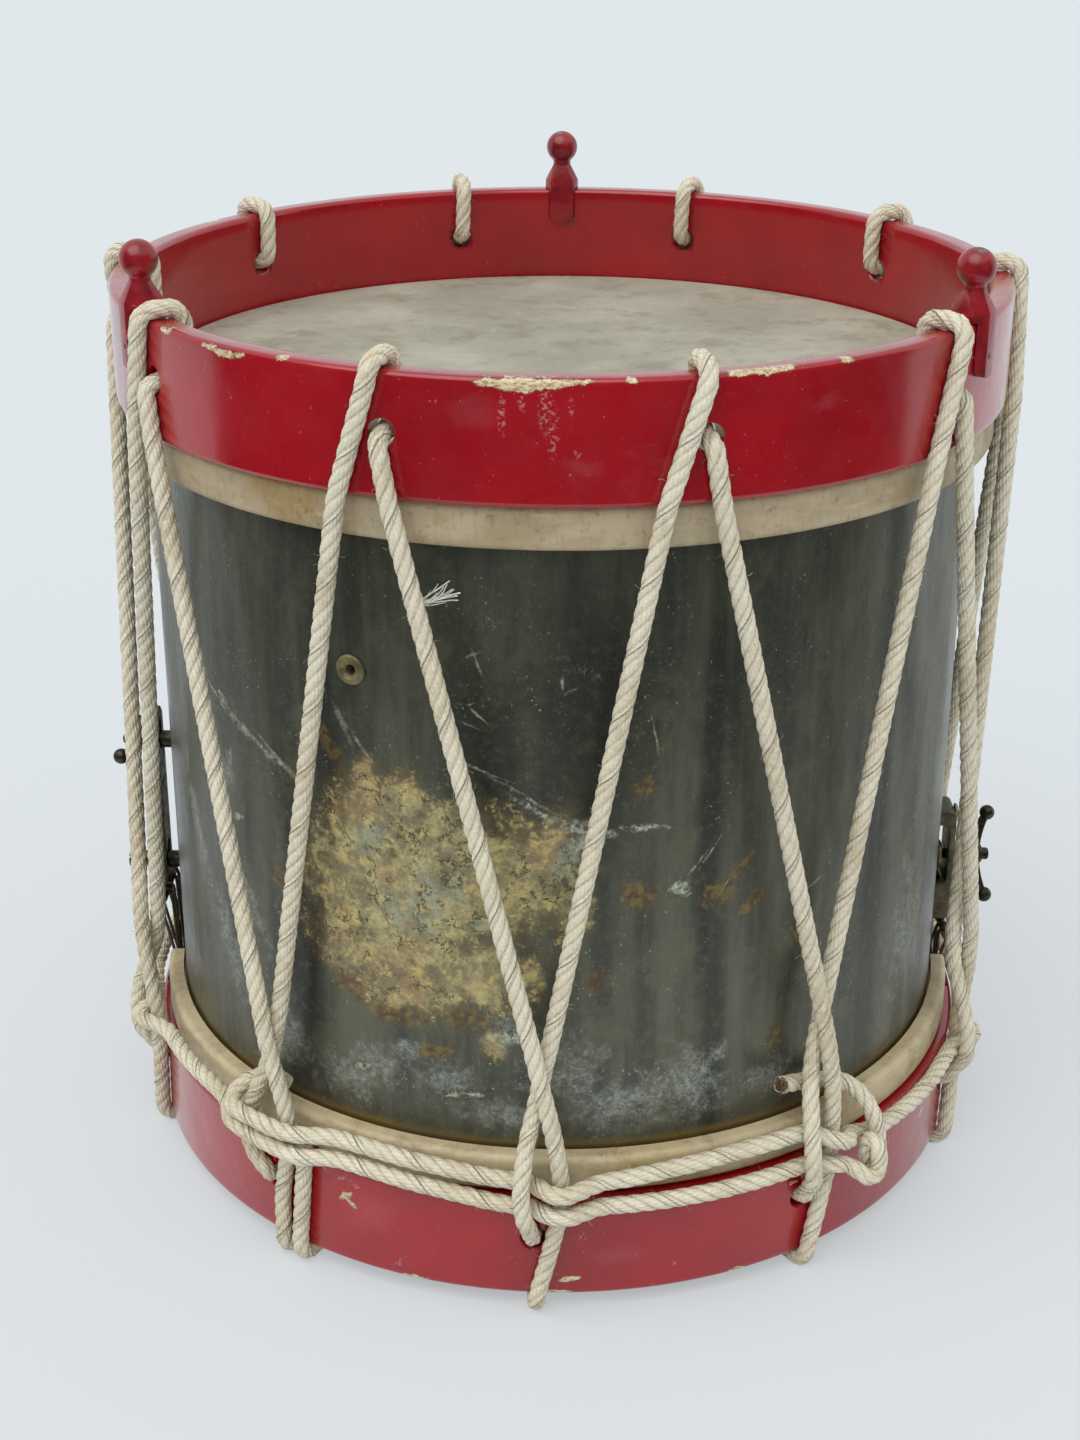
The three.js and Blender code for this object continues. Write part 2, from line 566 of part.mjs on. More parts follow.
// Vent: a brass eyelet set in a hole high on the shell, with a raised rim
const ventAzimuth = -26.5;
const ventDropHeight = 78;
const ventLevel = topHoopBottom - ventDropHeight;
const ventFlangeDiameter = 13;
const ventBarrelDiameter = 8;
const ventBoreDiameter = 4.5;
const ventLipHeight = 1.4;
const ventLength = 5;
const ventHoleRadius = (ventBarrelDiameter / 2 + seatGap) / boltShare;
const ventDrill = cylinderAlong("x", ventHoleRadius,
  shellRadius - cutOverLength, shellRadius + cutOverLength);
ventDrill.rotateZ(THREE.MathUtils.degToRad(ventAzimuth - 90)).translate(0, 0, ventLevel);
shell = shell.subtract(solidOf(ventDrill));
const ventSeat = shellRadius + seatGap;
const eyelet = turnedAlongX([
  [ventBoreDiameter / 2, ventSeat - ventLength],
  [ventBarrelDiameter / 2, ventSeat - ventLength],
  [ventBarrelDiameter / 2, ventSeat],
  [ventFlangeDiameter / 2, ventSeat],
  [ventFlangeDiameter / 2, ventSeat + ventLipHeight / 2],
  [ventBarrelDiameter / 2, ventSeat + ventLipHeight],
  [ventBoreDiameter / 2, ventSeat + ventLipHeight / 2],
  [ventBoreDiameter / 2, ventSeat - ventLength],
]);
const ventPiece = addPiece("vent_eyelet", eyelet, brass);
ventPiece.rotation.z = THREE.MathUtils.degToRad(ventAzimuth - 90);
ventPiece.position.z = ventLevel;

// Snare hardware stands on the shell at left and right, drawn with +X outwards and turned round for the left
const strainer = new THREE.Group();
strainer.rotation.z = Math.PI;
drum.add(strainer);
const butt = new THREE.Group();
drum.add(butt);

const threadDiameter = 5;
const boreDiameter = 6;
const threadRadius = threadDiameter / 2;
const boreRadius = boreDiameter / 2;
const insideFace = (shellRadius - shellWallThickness) * facetShare;
const outsideFace = shellRadius + seatGap;
const nutDiameter = 11;
const nutThickness = 4;
const nutFacets = 6;
const threadPastNutLength = 1.5;
const nutSeat = insideFace - seatGap;
const boltInnerEnd = nutSeat - nutThickness - threadPastNutLength;

function drillShell(azimuth, height) {
  const drill = cylinderAlong("x", boreRadius, shellRadius - cutOverLength, shellRadius + cutOverLength);
  drill.rotateZ(THREE.MathUtils.degToRad(azimuth - 90)).translate(0, 0, height);
  shell = shell.subtract(solidOf(drill));
}

function hexNut() {
  const nut = cylinderAlong("x", nutDiameter / 2, nutSeat - nutThickness, nutSeat, nutFacets);
  const bore = cylinderAlong("x", boreRadius,
    nutSeat - nutThickness - cutOverLength, nutSeat + cutOverLength);
  return geometryOf(solidOf(nut).subtract(solidOf(bore)));
}

function place(name, geometry, finish, parent, height) {
  addPiece(name, geometry, finish, parent).position.z = height;
}

// Left strainer: two posts on the shell, a slotted plate that slides on them, and a wing nut that locks it
const strainerStudHeight = 127;
const guideHeight = 61;
const strainerStudLevel = lowHoopTop + strainerStudHeight;
const guideLevel = lowHoopTop + guideHeight;
const postLength = 7.6;
const postDiameter = 8.5;
const postFlangeDiameter = 14;
const postFlangeThickness = 2;
const plateSeat = outsideFace + postLength;
const plateThickness = 2.7;
const plateWidth = 16;
const plateUpLength = 2;
const plateDownLength = 8;
const plateMarginLength = 8;
const washerDiameter = 12;
const washerThickness = 1.2;
const washerSeat = plateSeat + seatGap + plateThickness + seatGap;
const wingSeat = washerSeat + washerThickness + seatGap;
const hubLength = 9;
const hubDiameter = 11;
const hubTipDiameter = 9;
const studPastHubLength = 5;
const studEnd = wingSeat + hubLength + studPastHubLength;
const endRoundRadius = 1;

const postBody = [
  [postFlangeDiameter / 2, outsideFace], [postFlangeDiameter / 2, outsideFace + postFlangeThickness],
  [postDiameter / 2, outsideFace + postFlangeThickness], [postDiameter / 2, plateSeat]];
place("strainer_stud", turnedAlongX([
  [0, boltInnerEnd], [threadRadius, boltInnerEnd], [threadRadius, outsideFace],
  ...postBody, [threadRadius, plateSeat], [threadRadius, studEnd - endRoundRadius],
  [threadRadius - endRoundRadius, studEnd], [0, studEnd],
]), darkBrass, strainer, strainerStudLevel);
place("strainer_stud_nut", hexNut(), brass, strainer, strainerStudLevel);
drillShell(-90, strainerStudLevel);

place("guide_post", turnedAlongX([[boreRadius, outsideFace], ...postBody, [boreRadius, plateSeat],
  [boreRadius, outsideFace]]), darkBrass, strainer, guideLevel);
const guideShoulder = washerSeat;
const guideBodyDiameter = 8;
const guideHeadDiameter = 9.5;
const guideHeadThickness = 4;
const guideReachLength = 15;
const guideEnd = hoopRadius + guideReachLength;
place("guide_screw", turnedAlongX([
  [0, boltInnerEnd], [threadRadius, boltInnerEnd], [threadRadius, guideShoulder],
  [guideBodyDiameter / 2, guideShoulder], [guideBodyDiameter / 2, guideEnd - guideHeadThickness],
  [guideHeadDiameter / 2, guideEnd - guideHeadThickness], [guideHeadDiameter / 2, guideEnd - endRoundRadius],
  [guideHeadDiameter / 2 - endRoundRadius, guideEnd], [0, guideEnd],
]), darkBrass, strainer, guideLevel);
place("guide_screw_nut", hexNut(), brass, strainer, guideLevel);
drillShell(-90, guideLevel);

// The plate, its two slots and the crossbar that the gut is looped on
const crossbarDiameter = 4;
const crossbarDropHeight = 14;
const crossbarLength = 34;
const stemWidth = 4.4;
const plateInner = plateSeat + seatGap;
const plateOuter = plateInner + plateThickness;
const crossbarCentre = (plateInner + plateOuter) / 2;
const strainerBarLevel = guideLevel - crossbarDropHeight;
function slottedPlate() {
  const half = plateWidth / 2;
  const corner = plateWidth / 4;
  const top = strainerStudLevel + plateMarginLength + plateDownLength;
  const bottom = guideLevel - plateMarginLength + plateUpLength / 2;
  const outline = new THREE.Shape();
  outline.moveTo(-half, bottom);
  outline.lineTo(half, bottom);
  outline.lineTo(half, top - corner);
  outline.lineTo(half - corner, top);
  outline.lineTo(-half + corner, top);
  outline.lineTo(-half, top - corner);
  for (const level of [strainerStudLevel, guideLevel]) {
    const slot = new THREE.Path();
    slot.absarc(0, level + plateDownLength, boreRadius, 0, Math.PI, false);
    slot.absarc(0, level - plateUpLength, boreRadius, Math.PI, 2 * Math.PI, false);
    outline.holes.push(slot);
  }
  const sheet = extrusion(outline, plateThickness);
  sheet.rotateX(Math.PI / 2).rotateZ(Math.PI / 2).translate(plateInner, 0, 0);
  const stem = box(plateInner, plateOuter, -stemWidth / 2, stemWidth / 2,
    strainerBarLevel, bottom + corner / 4);
  const bar = cylinderAlong("y", crossbarDiameter / 2, -crossbarLength / 2, crossbarLength / 2);
  return solidOf(sheet).add(solidOf(stem)).add(solidOf(bar.translate(crossbarCentre, 0, strainerBarLevel)));
}
addPiece("strainer_plate", geometryOf(slottedPlate()), darkBrass, strainer);
place("strainer_washer", turnedAlongX([[boreRadius, washerSeat], [washerDiameter / 2, washerSeat],
  [washerDiameter / 2, washerSeat + washerThickness], [boreRadius, washerSeat + washerThickness],
  [boreRadius, washerSeat]]), brass, strainer, strainerStudLevel);

// Wings: two bowed arms that lean outwards and end in balls, drawn across Y from a hub on the X axis
const wingSpanWidth = 42;
const wingLeanLength = 6;
const wingThickness = 3.4;
const wingRootHeight = 7;
const wingTipHeight = 3.2;
const wingBallDiameter = 7.5;
function wings(hubStart) {
  const tip = wingSpanWidth / 2;
  const tipCentre = hubStart + hubLength + wingLeanLength - wingBallDiameter / 2;
  const rootBottom = hubStart + endRoundRadius;
  const outline = new THREE.Shape();
  outline.moveTo(0, rootBottom);
  outline.quadraticCurveTo(tip / 2, rootBottom, tip, tipCentre - wingTipHeight / 2);
  outline.lineTo(tip, tipCentre + wingTipHeight / 2);
  outline.quadraticCurveTo(tip / 2, rootBottom + wingRootHeight, 0, rootBottom + wingRootHeight);
  const arm = (sign) => {
    const geometry = extrusion(outline, wingThickness, 4);
    geometry.translate(0, 0, -wingThickness / 2).rotateZ(-Math.PI / 2).rotateX(sign > 0 ? Math.PI : 0);
    return solidOf(geometry);
  };
  const ball = (sign) => solidOf(new THREE.SphereGeometry(wingBallDiameter / 2, 8, 6)
    .translate(tipCentre, sign * tip, 0));
  return arm(1).add(arm(-1)).add(ball(1)).add(ball(-1));
}
function hubSolid(start) {
  return solidOf(turnedAlongX([[0, start], [hubDiameter / 2, start], [hubTipDiameter / 2, start + hubLength],
    [0, start + hubLength]]));
}
const nutBore = solidOf(cylinderAlong("x", boreRadius,
  wingSeat - cutOverLength, wingSeat + hubLength + cutOverLength));
const wingNut = hubSolid(wingSeat).add(wings(wingSeat)).subtract(nutBore);
place("strainer_wing_nut", geometryOf(wingNut), darkBrass, strainer, strainerStudLevel);

// Right butt: a bracket bridged off the shell on two lugs, with a crossbar below for the gut and a wing screw
// whose pad clamps the gut's ends against the shell
const lowerLugBaseHeight = 35;
const lowerLugHeight = 20;
const upperLugBaseHeight = 87;
const upperLugHeight = 7;
const lowerLugBottom = lowHoopTop + lowerLugBaseHeight;
const lowerLugTop = lowerLugBottom + lowerLugHeight;
const upperLugBottom = lowHoopTop + upperLugBaseHeight;
const upperLugTop = upperLugBottom + upperLugHeight;
const bracketWidth = 20;
const webGap = 6.7;
const webInner = shellRadius + webGap;
const webThickness = 3;
const webOuter = webInner + webThickness;
const bracketRoundRadius = 3;
const gutChannelWidth = 11.4;
const gutChannelDepth = 4.6;
const wingScrewHeight = 67;
const wingScrewLevel = lowHoopTop + wingScrewHeight;
const buttBarDropHeight = 6;
const buttBarLevel = lowerLugBottom - buttBarDropHeight;
const buttBarRadial = webOuter - crossbarDiameter / 2;
function bracketSolid() {
  const outline = new THREE.Shape();
  outline.moveTo(outsideFace, lowerLugBottom);
  outline.lineTo(webOuter - bracketRoundRadius, lowerLugBottom);
  outline.lineTo(webOuter, lowerLugBottom + bracketRoundRadius);
  outline.lineTo(webOuter, upperLugTop - bracketRoundRadius);
  outline.lineTo(webOuter - bracketRoundRadius, upperLugTop);
  outline.lineTo(outsideFace, upperLugTop);
  outline.lineTo(outsideFace, upperLugBottom);
  outline.lineTo(webInner - bracketRoundRadius, upperLugBottom);
  outline.lineTo(webInner, upperLugBottom - bracketRoundRadius);
  outline.lineTo(webInner, lowerLugTop + bracketRoundRadius);
  outline.lineTo(webInner - bracketRoundRadius, lowerLugTop);
  outline.lineTo(outsideFace, lowerLugTop);
  const body = new THREE.ExtrudeGeometry(outline, { depth: bracketWidth, bevelEnabled: false });
  body.rotateX(Math.PI / 2).translate(0, bracketWidth / 2, 0);
  const channel = box(outsideFace - cutOverLength, outsideFace + gutChannelDepth, -gutChannelWidth / 2,
    gutChannelWidth / 2, lowerLugBottom - cutOverLength, lowerLugTop + cutOverLength);
  const stem = box(webOuter - crossbarDiameter + endRoundRadius / 2, webOuter - endRoundRadius / 2,
    -stemWidth / 2, stemWidth / 2, buttBarLevel, lowerLugBottom + bracketRoundRadius);
  const bar = cylinderAlong("y", crossbarDiameter / 2, -crossbarLength / 2, crossbarLength / 2)
    .translate(buttBarRadial, 0, buttBarLevel);
  const bore = cylinderAlong("x", boreRadius, webInner - cutOverLength / 2, webOuter + cutOverLength)
    .translate(0, 0, wingScrewLevel);
  return solidOf(body).subtract(solidOf(channel)).add(solidOf(stem)).add(solidOf(bar))
    .subtract(solidOf(bore));
}
let bracket = bracketSolid();

// Three rivets hold the bracket's lugs to the shell
const buttRivetHeadDiameter = 8;
const buttRivetHeadThickness = 2;
const buttRivetShankDiameter = 3.4;
const buttRivetInnerDiameter = 7.5;
const buttRivetOffsetWidth = 7.6;
const upperRivetLevel = (upperLugBottom + upperLugTop) / 2;
const lowerRivetLevel = (lowerLugBottom + lowerLugTop) / 2;
function buttRivet(height, across) {
  const shank = buttRivetShankDiameter / 2;
  const inner = insideFace - seatGap - nutThickness / 2;
  const outer = webOuter + seatGap + buttRivetHeadThickness;
  const tool = cylinderAlong("x", (shank + seatGap) / boltShare,
    outsideFace - 2 * cutOverLength, webOuter + cutOverLength).translate(0, across, height);
  bracket = bracket.subtract(solidOf(tool));
  shell = shell.subtract(solidOf(tool));
  return turnedAlongX([[0, inner - nutThickness / 2], [buttRivetInnerDiameter / 2, inner - nutThickness / 2],
    [buttRivetInnerDiameter / 2, inner + nutThickness / 2 - seatGap],
    [shank, inner + nutThickness / 2 - seatGap],
    [shank, webOuter + seatGap], [buttRivetHeadDiameter / 2, webOuter + seatGap],
    [buttRivetHeadDiameter / 3, outer], [0, outer]]).translate(0, across, 0);
}
place("butt_rivet_upper", buttRivet(upperRivetLevel, 0), brass, butt, upperRivetLevel);
place("butt_rivet_lower_front", buttRivet(lowerRivetLevel, -buttRivetOffsetWidth), brass, butt,
  lowerRivetLevel);
place("butt_rivet_lower_rear", buttRivet(lowerRivetLevel, buttRivetOffsetWidth), brass, butt,
  lowerRivetLevel);
addPiece("butt_bracket", geometryOf(bracket), brass, butt);

const gutRadius = gutDiameter / 2;
const padDiameter = 14;
const padThickness = 1.8;
const wingScrewTiltDegrees = 76;
const padSeat = outsideFace + gutDiameter + 2 * seatGap;
const screwTip = padSeat + padThickness + seatGap;
const screwHubGap = 16;
const screwHubStart = shellRadius + screwHubGap;
const screwButtonDiameter = 6;
const screwButtonLength = 3.5;
place("clamp_pad", cylinderAlong("x", padDiameter / 2, padSeat, padSeat + padThickness), brass, butt,
  wingScrewLevel);
const screwShank = solidOf(turnedAlongX([[0, screwTip], [threadRadius, screwTip],
  [threadRadius, screwHubStart + endRoundRadius], [0, screwHubStart + endRoundRadius]]));
const screwButton = solidOf(turnedAlongX([[0, screwHubStart + hubLength - endRoundRadius],
  [screwButtonDiameter / 2, screwHubStart + hubLength - endRoundRadius],
  [screwButtonDiameter / 2, screwHubStart + hubLength + screwButtonLength - endRoundRadius],
  [screwButtonDiameter / 2 - endRoundRadius, screwHubStart + hubLength + screwButtonLength],
  [0, screwHubStart + hubLength + screwButtonLength]]));
const wingScrew = screwShank.add(hubSolid(screwHubStart)).add(wings(screwHubStart)).add(screwButton);
const wingScrewGeometry = geometryOf(wingScrew).rotateX(THREE.MathUtils.degToRad(wingScrewTiltDegrees));
place("clamp_wing_screw", wingScrewGeometry, darkBrass, butt, wingScrewLevel);

addPiece("shell", geometryOf(shell), brass);

// Snares: two lengths of gut, each laid four times across the lower head and looped on the crossbars
const gutPitchWidth = 3.2;
const gutCentreGap = 8;
const gutRuns = 4;
const gutSides = 5;
const gutHeadLevel = lowHead - 1.4 * seatGap - gutRadius;
const loopSteps = 4;
const gutTurn = (crossbarDiameter / 2 + seatGap + gutRadius) / Math.cos(Math.PI / loopSteps / 2);
const gutGateGap = 2.4;
const gateRadial = collarOutside + gutGateGap;
const sillLevel = lowFleshBottom + gateSillHeight;

// From under the head round the shell's edge and out through the notch, as [distance, height] points
function upThroughGate() {
  return [
    [collarOutside - seatGap, gutHeadLevel],
    [collarOutside + gutDiameter, lowHead + seatGap],
    [gateRadial, lowHead + 2 * gutDiameter],
    [gateRadial + gutRadius, sillLevel + seatGap],
  ];
}
function overBar(barRadial, barHeight, fromInner, y0, y1) {
  const [from, to] = fromInner ? [180, 0] : [0, 180];
  return arcPoints(barRadial, barHeight, gutTurn, from, to, loopSteps)
    .map(([x, z], i) => [x, THREE.MathUtils.lerp(y0, y1, i / loopSteps), z]);
}
function gutRoute(sign) {
  const across = (run) => sign * (gutCentreGap / 2 + gutPitchWidth * run);
  const left = crossbarCentre;
  const right = buttBarRadial;
  const points = [];
  const climb = (run, isLeft, isDown) => {
    const rows = upThroughGate().map(([x, z]) => new THREE.Vector3(isLeft ? -x : x, across(run), z));
    points.push(...(isDown ? rows.reverse() : rows));
  };
  const clampLevel = wingScrewLevel + padDiameter / 3;
  const clampRadial = outsideFace + seatGap + gutRadius;
  const clampAcross = sign * gutDiameter * 1.6;
  points.push(new THREE.Vector3(clampRadial, clampAcross, clampLevel));
  points.push(new THREE.Vector3(clampRadial, clampAcross, wingScrewLevel - padDiameter / 2));
  points.push(new THREE.Vector3(clampRadial, across(0), lowerLugBottom - gutDiameter));
  points.push(new THREE.Vector3(clampRadial, across(0), buttBarLevel - crossbarDiameter));
  climb(0, false, true);
  climb(0, true, false);
  points.push(...overBar(left, strainerBarLevel, true, across(0), across(1))
    .map(([x, y, z]) => new THREE.Vector3(-x, y, z)));
  climb(1, true, true);
  climb(1, false, false);
  points.push(...overBar(right, buttBarLevel, true, across(1), across(2))
    .map(([x, y, z]) => new THREE.Vector3(x, y, z)));
  climb(2, false, true);
  climb(2, true, false);
  points.push(...overBar(left, strainerBarLevel, true, across(2), across(3))
    .map(([x, y, z]) => new THREE.Vector3(-x, y, z)));
  climb(3, true, true);
  climb(3, false, false);
  const tail = overBar(right, buttBarLevel, true, across(3), across(3))
    .map(([x, y, z]) => new THREE.Vector3(x, y, z));
  points.push(...tail, tail[tail.length - 1].clone().setZ(buttBarLevel - crossbarDiameter));
  return points;
}
for (const [name, sign] of [["snare_gut_front", -1], ["snare_gut_rear", 1]]) {
  const route = gutRoute(sign);
  addPiece(name, tube(route, gutRadius, gutSides), gut);
  console.log(`${name} least gap to itself ${leastSelfGap(route, gutDiameter).toFixed(2)} mm`);
}

export default drum;
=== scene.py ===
"""A rope-tension field drum, dressed for the camera: red hoops, laid hemp rope, tarnished brass and calfskin.

Metres, +Z up, the origin on the floor under the middle of the drum, the front towards -Y. Azimuths are in
degrees from the front and grow to the right.
"""
import math

import bmesh
import bpy
import numpy as np
from mathutils import Matrix, Vector


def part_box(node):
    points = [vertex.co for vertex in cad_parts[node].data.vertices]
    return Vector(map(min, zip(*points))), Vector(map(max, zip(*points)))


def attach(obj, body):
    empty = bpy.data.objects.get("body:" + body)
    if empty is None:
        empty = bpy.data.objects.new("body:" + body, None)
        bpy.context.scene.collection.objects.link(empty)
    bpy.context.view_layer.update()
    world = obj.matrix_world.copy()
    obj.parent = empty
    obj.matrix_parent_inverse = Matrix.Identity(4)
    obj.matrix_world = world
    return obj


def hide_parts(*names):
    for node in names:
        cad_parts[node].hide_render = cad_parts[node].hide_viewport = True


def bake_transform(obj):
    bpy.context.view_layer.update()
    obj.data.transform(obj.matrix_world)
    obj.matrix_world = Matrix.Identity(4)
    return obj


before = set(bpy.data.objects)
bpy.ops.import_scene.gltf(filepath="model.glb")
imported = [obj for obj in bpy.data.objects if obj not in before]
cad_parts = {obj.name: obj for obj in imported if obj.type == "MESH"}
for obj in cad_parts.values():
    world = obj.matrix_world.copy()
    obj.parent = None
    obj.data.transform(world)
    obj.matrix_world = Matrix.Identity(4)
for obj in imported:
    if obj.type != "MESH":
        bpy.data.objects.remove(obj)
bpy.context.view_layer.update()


# Camera. A long lens a metre in front of the drum, above its rim and looking a quarter of the way down,
# turned and rolled by less than a degree as a hand holds it.
def stand(name, data):
    """A new object of that data, in the scene."""
    made = bpy.data.objects.new(name, data)
    bpy.context.collection.objects.link(made)
    return made


camera_pitch, camera_yaw, camera_roll = (math.radians(a) for a in (23.566, -0.525, 0.157))
look = Vector((math.sin(camera_yaw) * math.cos(camera_pitch), math.cos(camera_yaw) * math.cos(camera_pitch),
               -math.sin(camera_pitch)))
level_right = look.cross(Vector((0, 0, 1))).normalized()
level_up = level_right.cross(look)
image_right = level_right * math.cos(camera_roll) + level_up * math.sin(camera_roll)
image_up = level_up * math.cos(camera_roll) - level_right * math.sin(camera_roll)
camera_data = bpy.data.cameras.new("camera")
camera_data.lens = 54.78
camera_data.sensor_width = 36
camera = stand("camera", camera_data)
camera.matrix_world = (Matrix.Translation((0, -0.9816, 0.6235))
                       @ Matrix((image_right, image_up, -look)).transposed().to_4x4())
bpy.context.scene.camera = camera


# Studio. Pale bluish-white paper that runs out of view on every side, a wide soft lamp above on the left
# and a dimmer one low on the right. Round the front stands a black flag that only reflections see: it keeps
# the room's light off the paint and the brass, as the dark side of a room does.
def from_srgb(red, green, blue):
    """A colour as it is seen, 0 to 255, as the linear colour that a shader takes."""
    return tuple((c / 255 / 12.92) if c <= 10 else ((c / 255 + 0.055) / 1.055) ** 2.4
                 for c in (red, green, blue)) + (1,)


class Level:
    """What a shader node gives out: a number, a colour or a direction. Each sum or call adds a node."""

    def __init__(self, finish, socket):
        self.finish, self.socket = finish, socket

    def reckon(self, operation, other=None):
        return self.finish.node("Math", {0: self, 1: other}, operation=operation)

    def __add__(self, other):
        return self.reckon("ADD", other)

    def __mul__(self, other):
        return self.reckon("MULTIPLY", other)

    def most(self, other):
        return self.reckon("MAXIMUM", other)

    def band(self, low, high, to_low=0.0, to_high=1.0):
        """From low to high, smoothly, as to_low to to_high."""
        return self.finish.node("MapRange", {"Value": self, "From Min": low, "From Max": high,
                                             "To Min": to_low, "To Max": to_high},
                                interpolation_type="SMOOTHSTEP")

    def blend(self, a, b):
        """a where this is 0, b where it is 1; a colour is given as it is seen, 0 to 255."""
        return self.finish.node("Mix", {0: self, 6: a, 7: b}, 2, data_type="RGBA")

    def relief(self, depth, under=None):
        """A bump: 0 to 1 is that many metres deep."""
        return self.finish.node("Bump", {"Height": self, "Distance": depth, "Strength": 1.0, "Normal": under})


class Finish:
    """A material in the making: each call adds a node and gives back its output."""

    def __init__(self, name, **constants):
        self.material = bpy.data.materials.new(name)
        self.material.use_nodes = True
        self.tree = self.material.node_tree
        self.tree.nodes.clear()
        self.surface = self.tree.nodes.new("ShaderNodeBsdfPrincipled")
        end = self.tree.nodes.new("ShaderNodeOutputMaterial")
        self.tree.links.new(self.surface.outputs[0], end.inputs[0])
        self.place = self.node("TexCoord", output="Object")
        for socket, value in constants.items():
            self.feed(self.surface.inputs[socket.replace("_", " ")], value)

    def node(self, kind, inputs=(), output=0, **settings):
        made = self.tree.nodes.new("ShaderNode" + kind)
        for name, value in settings.items():
            setattr(made, name, value)
        for socket, value in dict(inputs).items():
            self.feed(made.inputs[socket], value)
        return Level(self, made.outputs[output])

    def feed(self, socket, value):
        """Links a level to the socket, or sets it to a number, a row of them or a colour of whole ones."""
        if isinstance(value, Level):
            self.tree.links.new(value.socket, socket)
        elif value is not None:
            socket.default_value = from_srgb(*value) if socket.type == "RGBA" else value

    def give(self, socket, value):
        self.tree.links.new(value.socket, self.surface.inputs[socket])

    def field(self, name):
        """A value painted on the piece's own points."""
        return self.node("Attribute", attribute_name=name, output="Fac")

    def grain(self, size, detail=4, rough=0.55, stretch=None, warp=0.0):
        """Cloudy noise whose blots are about that many metres across, from 0 to 1."""
        place = self.node("Mapping", {"Vector": self.place, "Scale": stretch}) if stretch else self.place
        return self.node("TexNoise", {"Vector": place, "Scale": 1 / size, "Detail": detail,
                                      "Roughness": rough, "Distortion": warp})

    def unrolled(self, radius, size=None, amount=0.0):
        """The piece's round side laid flat: metres along it from the front, and the height above the lower
        hoop's foot. Noise of that size shakes the place by up to that amount, for ragged marks."""
        apart = self.node("SeparateXYZ", {0: self.place}).socket.node
        x, y, z = (Level(self, apart.outputs[axis]) for axis in "XYZ")
        flat = self.node("CombineXYZ", {0: x.reckon("ARCTAN2", y * -1.0) * radius, 1: z + (-hoop_foot)})
        if size:
            shake = self.node("TexNoise", {"Vector": self.place, "Scale": 1 / size, "Detail": 6,
                                           "Roughness": 0.75}, "Color")
            shaken = self.node("VectorMath", {0: shake, 1: (-0.5, -0.5, -0.5)}, operation="ADD")
            flat = self.node("VectorMath", {0: shaken, 1: (amount, amount, 0), 2: flat},
                             operation="MULTIPLY_ADD")
        return flat

    def marks(self, flat, radius, places, soft=0.5):
        """1 inside any of the marks, 0 outside. A mark is azimuth, height, half its width and half its height
        in mm, and its lean in degrees."""
        shown = None
        for azimuth, height, half_width, half_height, lean in places:
            inside = self.node("Mapping", {"Vector": flat, "Location": (
                math.radians(azimuth) * radius, height / 1000, 0), "Rotation": (0, 0, math.radians(lean)),
                "Scale": (half_width / 1000, half_height / 1000, 1)}, vector_type="TEXTURE")
            reach = self.node("VectorMath", {0: inside}, "Value", operation="LENGTH")
            mark = reach.band(1 - soft, 1 + soft, 1.0, 0.0)
            shown = mark.most(shown) if shown else mark
        return shown


paper = Finish("studio paper", Roughness=0.95, Specular_IOR_Level=0.1, Emission_Color=(248, 251, 253))
seen, mirrored, through = (paper.node("LightPath", output="Is %s Ray" % kind) for kind in (
    "Camera", "Glossy", "Transmission"))
seen = seen.most(mirrored.most(through))
paper.give("Base Color", seen.blend((214, 219, 222), (152, 156, 158)))
paper.give("Emission Strength", seen * 0.42)


def stage(name, points, edges, faces, finish):
    """A mesh of the studio, which isn't part of the drum."""
    made = bpy.data.meshes.new(name)
    made.from_pydata(points, edges, faces)
    made.materials.append(finish.material)
    prop = stand(name, made)
    return prop


stage("floor", [(x, y, -0.0002) for x, y in ((-30, -30), (30, -30), (30, 30), (-30, 30))], [], [(0, 1, 2, 3)],
      paper)

room = bpy.data.worlds.new("room")
room.use_nodes = True
sky = room.node_tree
background = sky.nodes["Background"].inputs
background["Color"].default_value = from_srgb(228, 236, 240)
strength = sky.nodes.new("ShaderNodeMapRange")
strength.inputs["To Min"].default_value, strength.inputs["To Max"].default_value = 0.89, 0.97
sky.links.new(sky.nodes.new("ShaderNodeLightPath").outputs["Is Camera Ray"], strength.inputs["Value"])
sky.links.new(strength.outputs[0], background["Strength"])
bpy.context.scene.world = room
bpy.context.scene.view_settings.view_transform = "Standard"


def soft_lamp(name, strength, spread, towards):
    lamp = bpy.data.lights.new(name, "SUN")
    lamp.energy, lamp.angle = strength, math.radians(spread)
    stand(name, lamp).rotation_euler = Vector(towards).to_track_quat("-Z", "Y").to_euler()


soft_lamp("wide lamp above", 1.42, 60, (0.35, 0.45, -1.0))
soft_lamp("low lamp on the right", 0.31, 90, (-0.8, 0.5, -0.35))

black_cloth = Finish("black flag", Roughness=1.0, Specular_IOR_Level=0.0, Base_Color=(22, 24, 25))
flag_steps = 24
flag_arc = [math.radians(-88 + 176 * i / flag_steps) for i in range(flag_steps + 1)]
flag_rows = [[(radius * math.sin(a), -radius * math.cos(a), height) for a in flag_arc]
             for radius, height in ((0.72, 0.0004), (1.5, 0.0004), (1.5, 1.3))]
flag_faces = []
for first in (0, flag_steps + 1):
    flag_faces += [(first + i, first + i + 1, first + i + flag_steps + 2, first + i + flag_steps + 1)
                   for i in range(flag_steps)]
flag = stage("flag", sum(flag_rows, []), [], flag_faces, black_cloth)
flag.visible_camera = flag.visible_diffuse = flag.visible_shadow = False


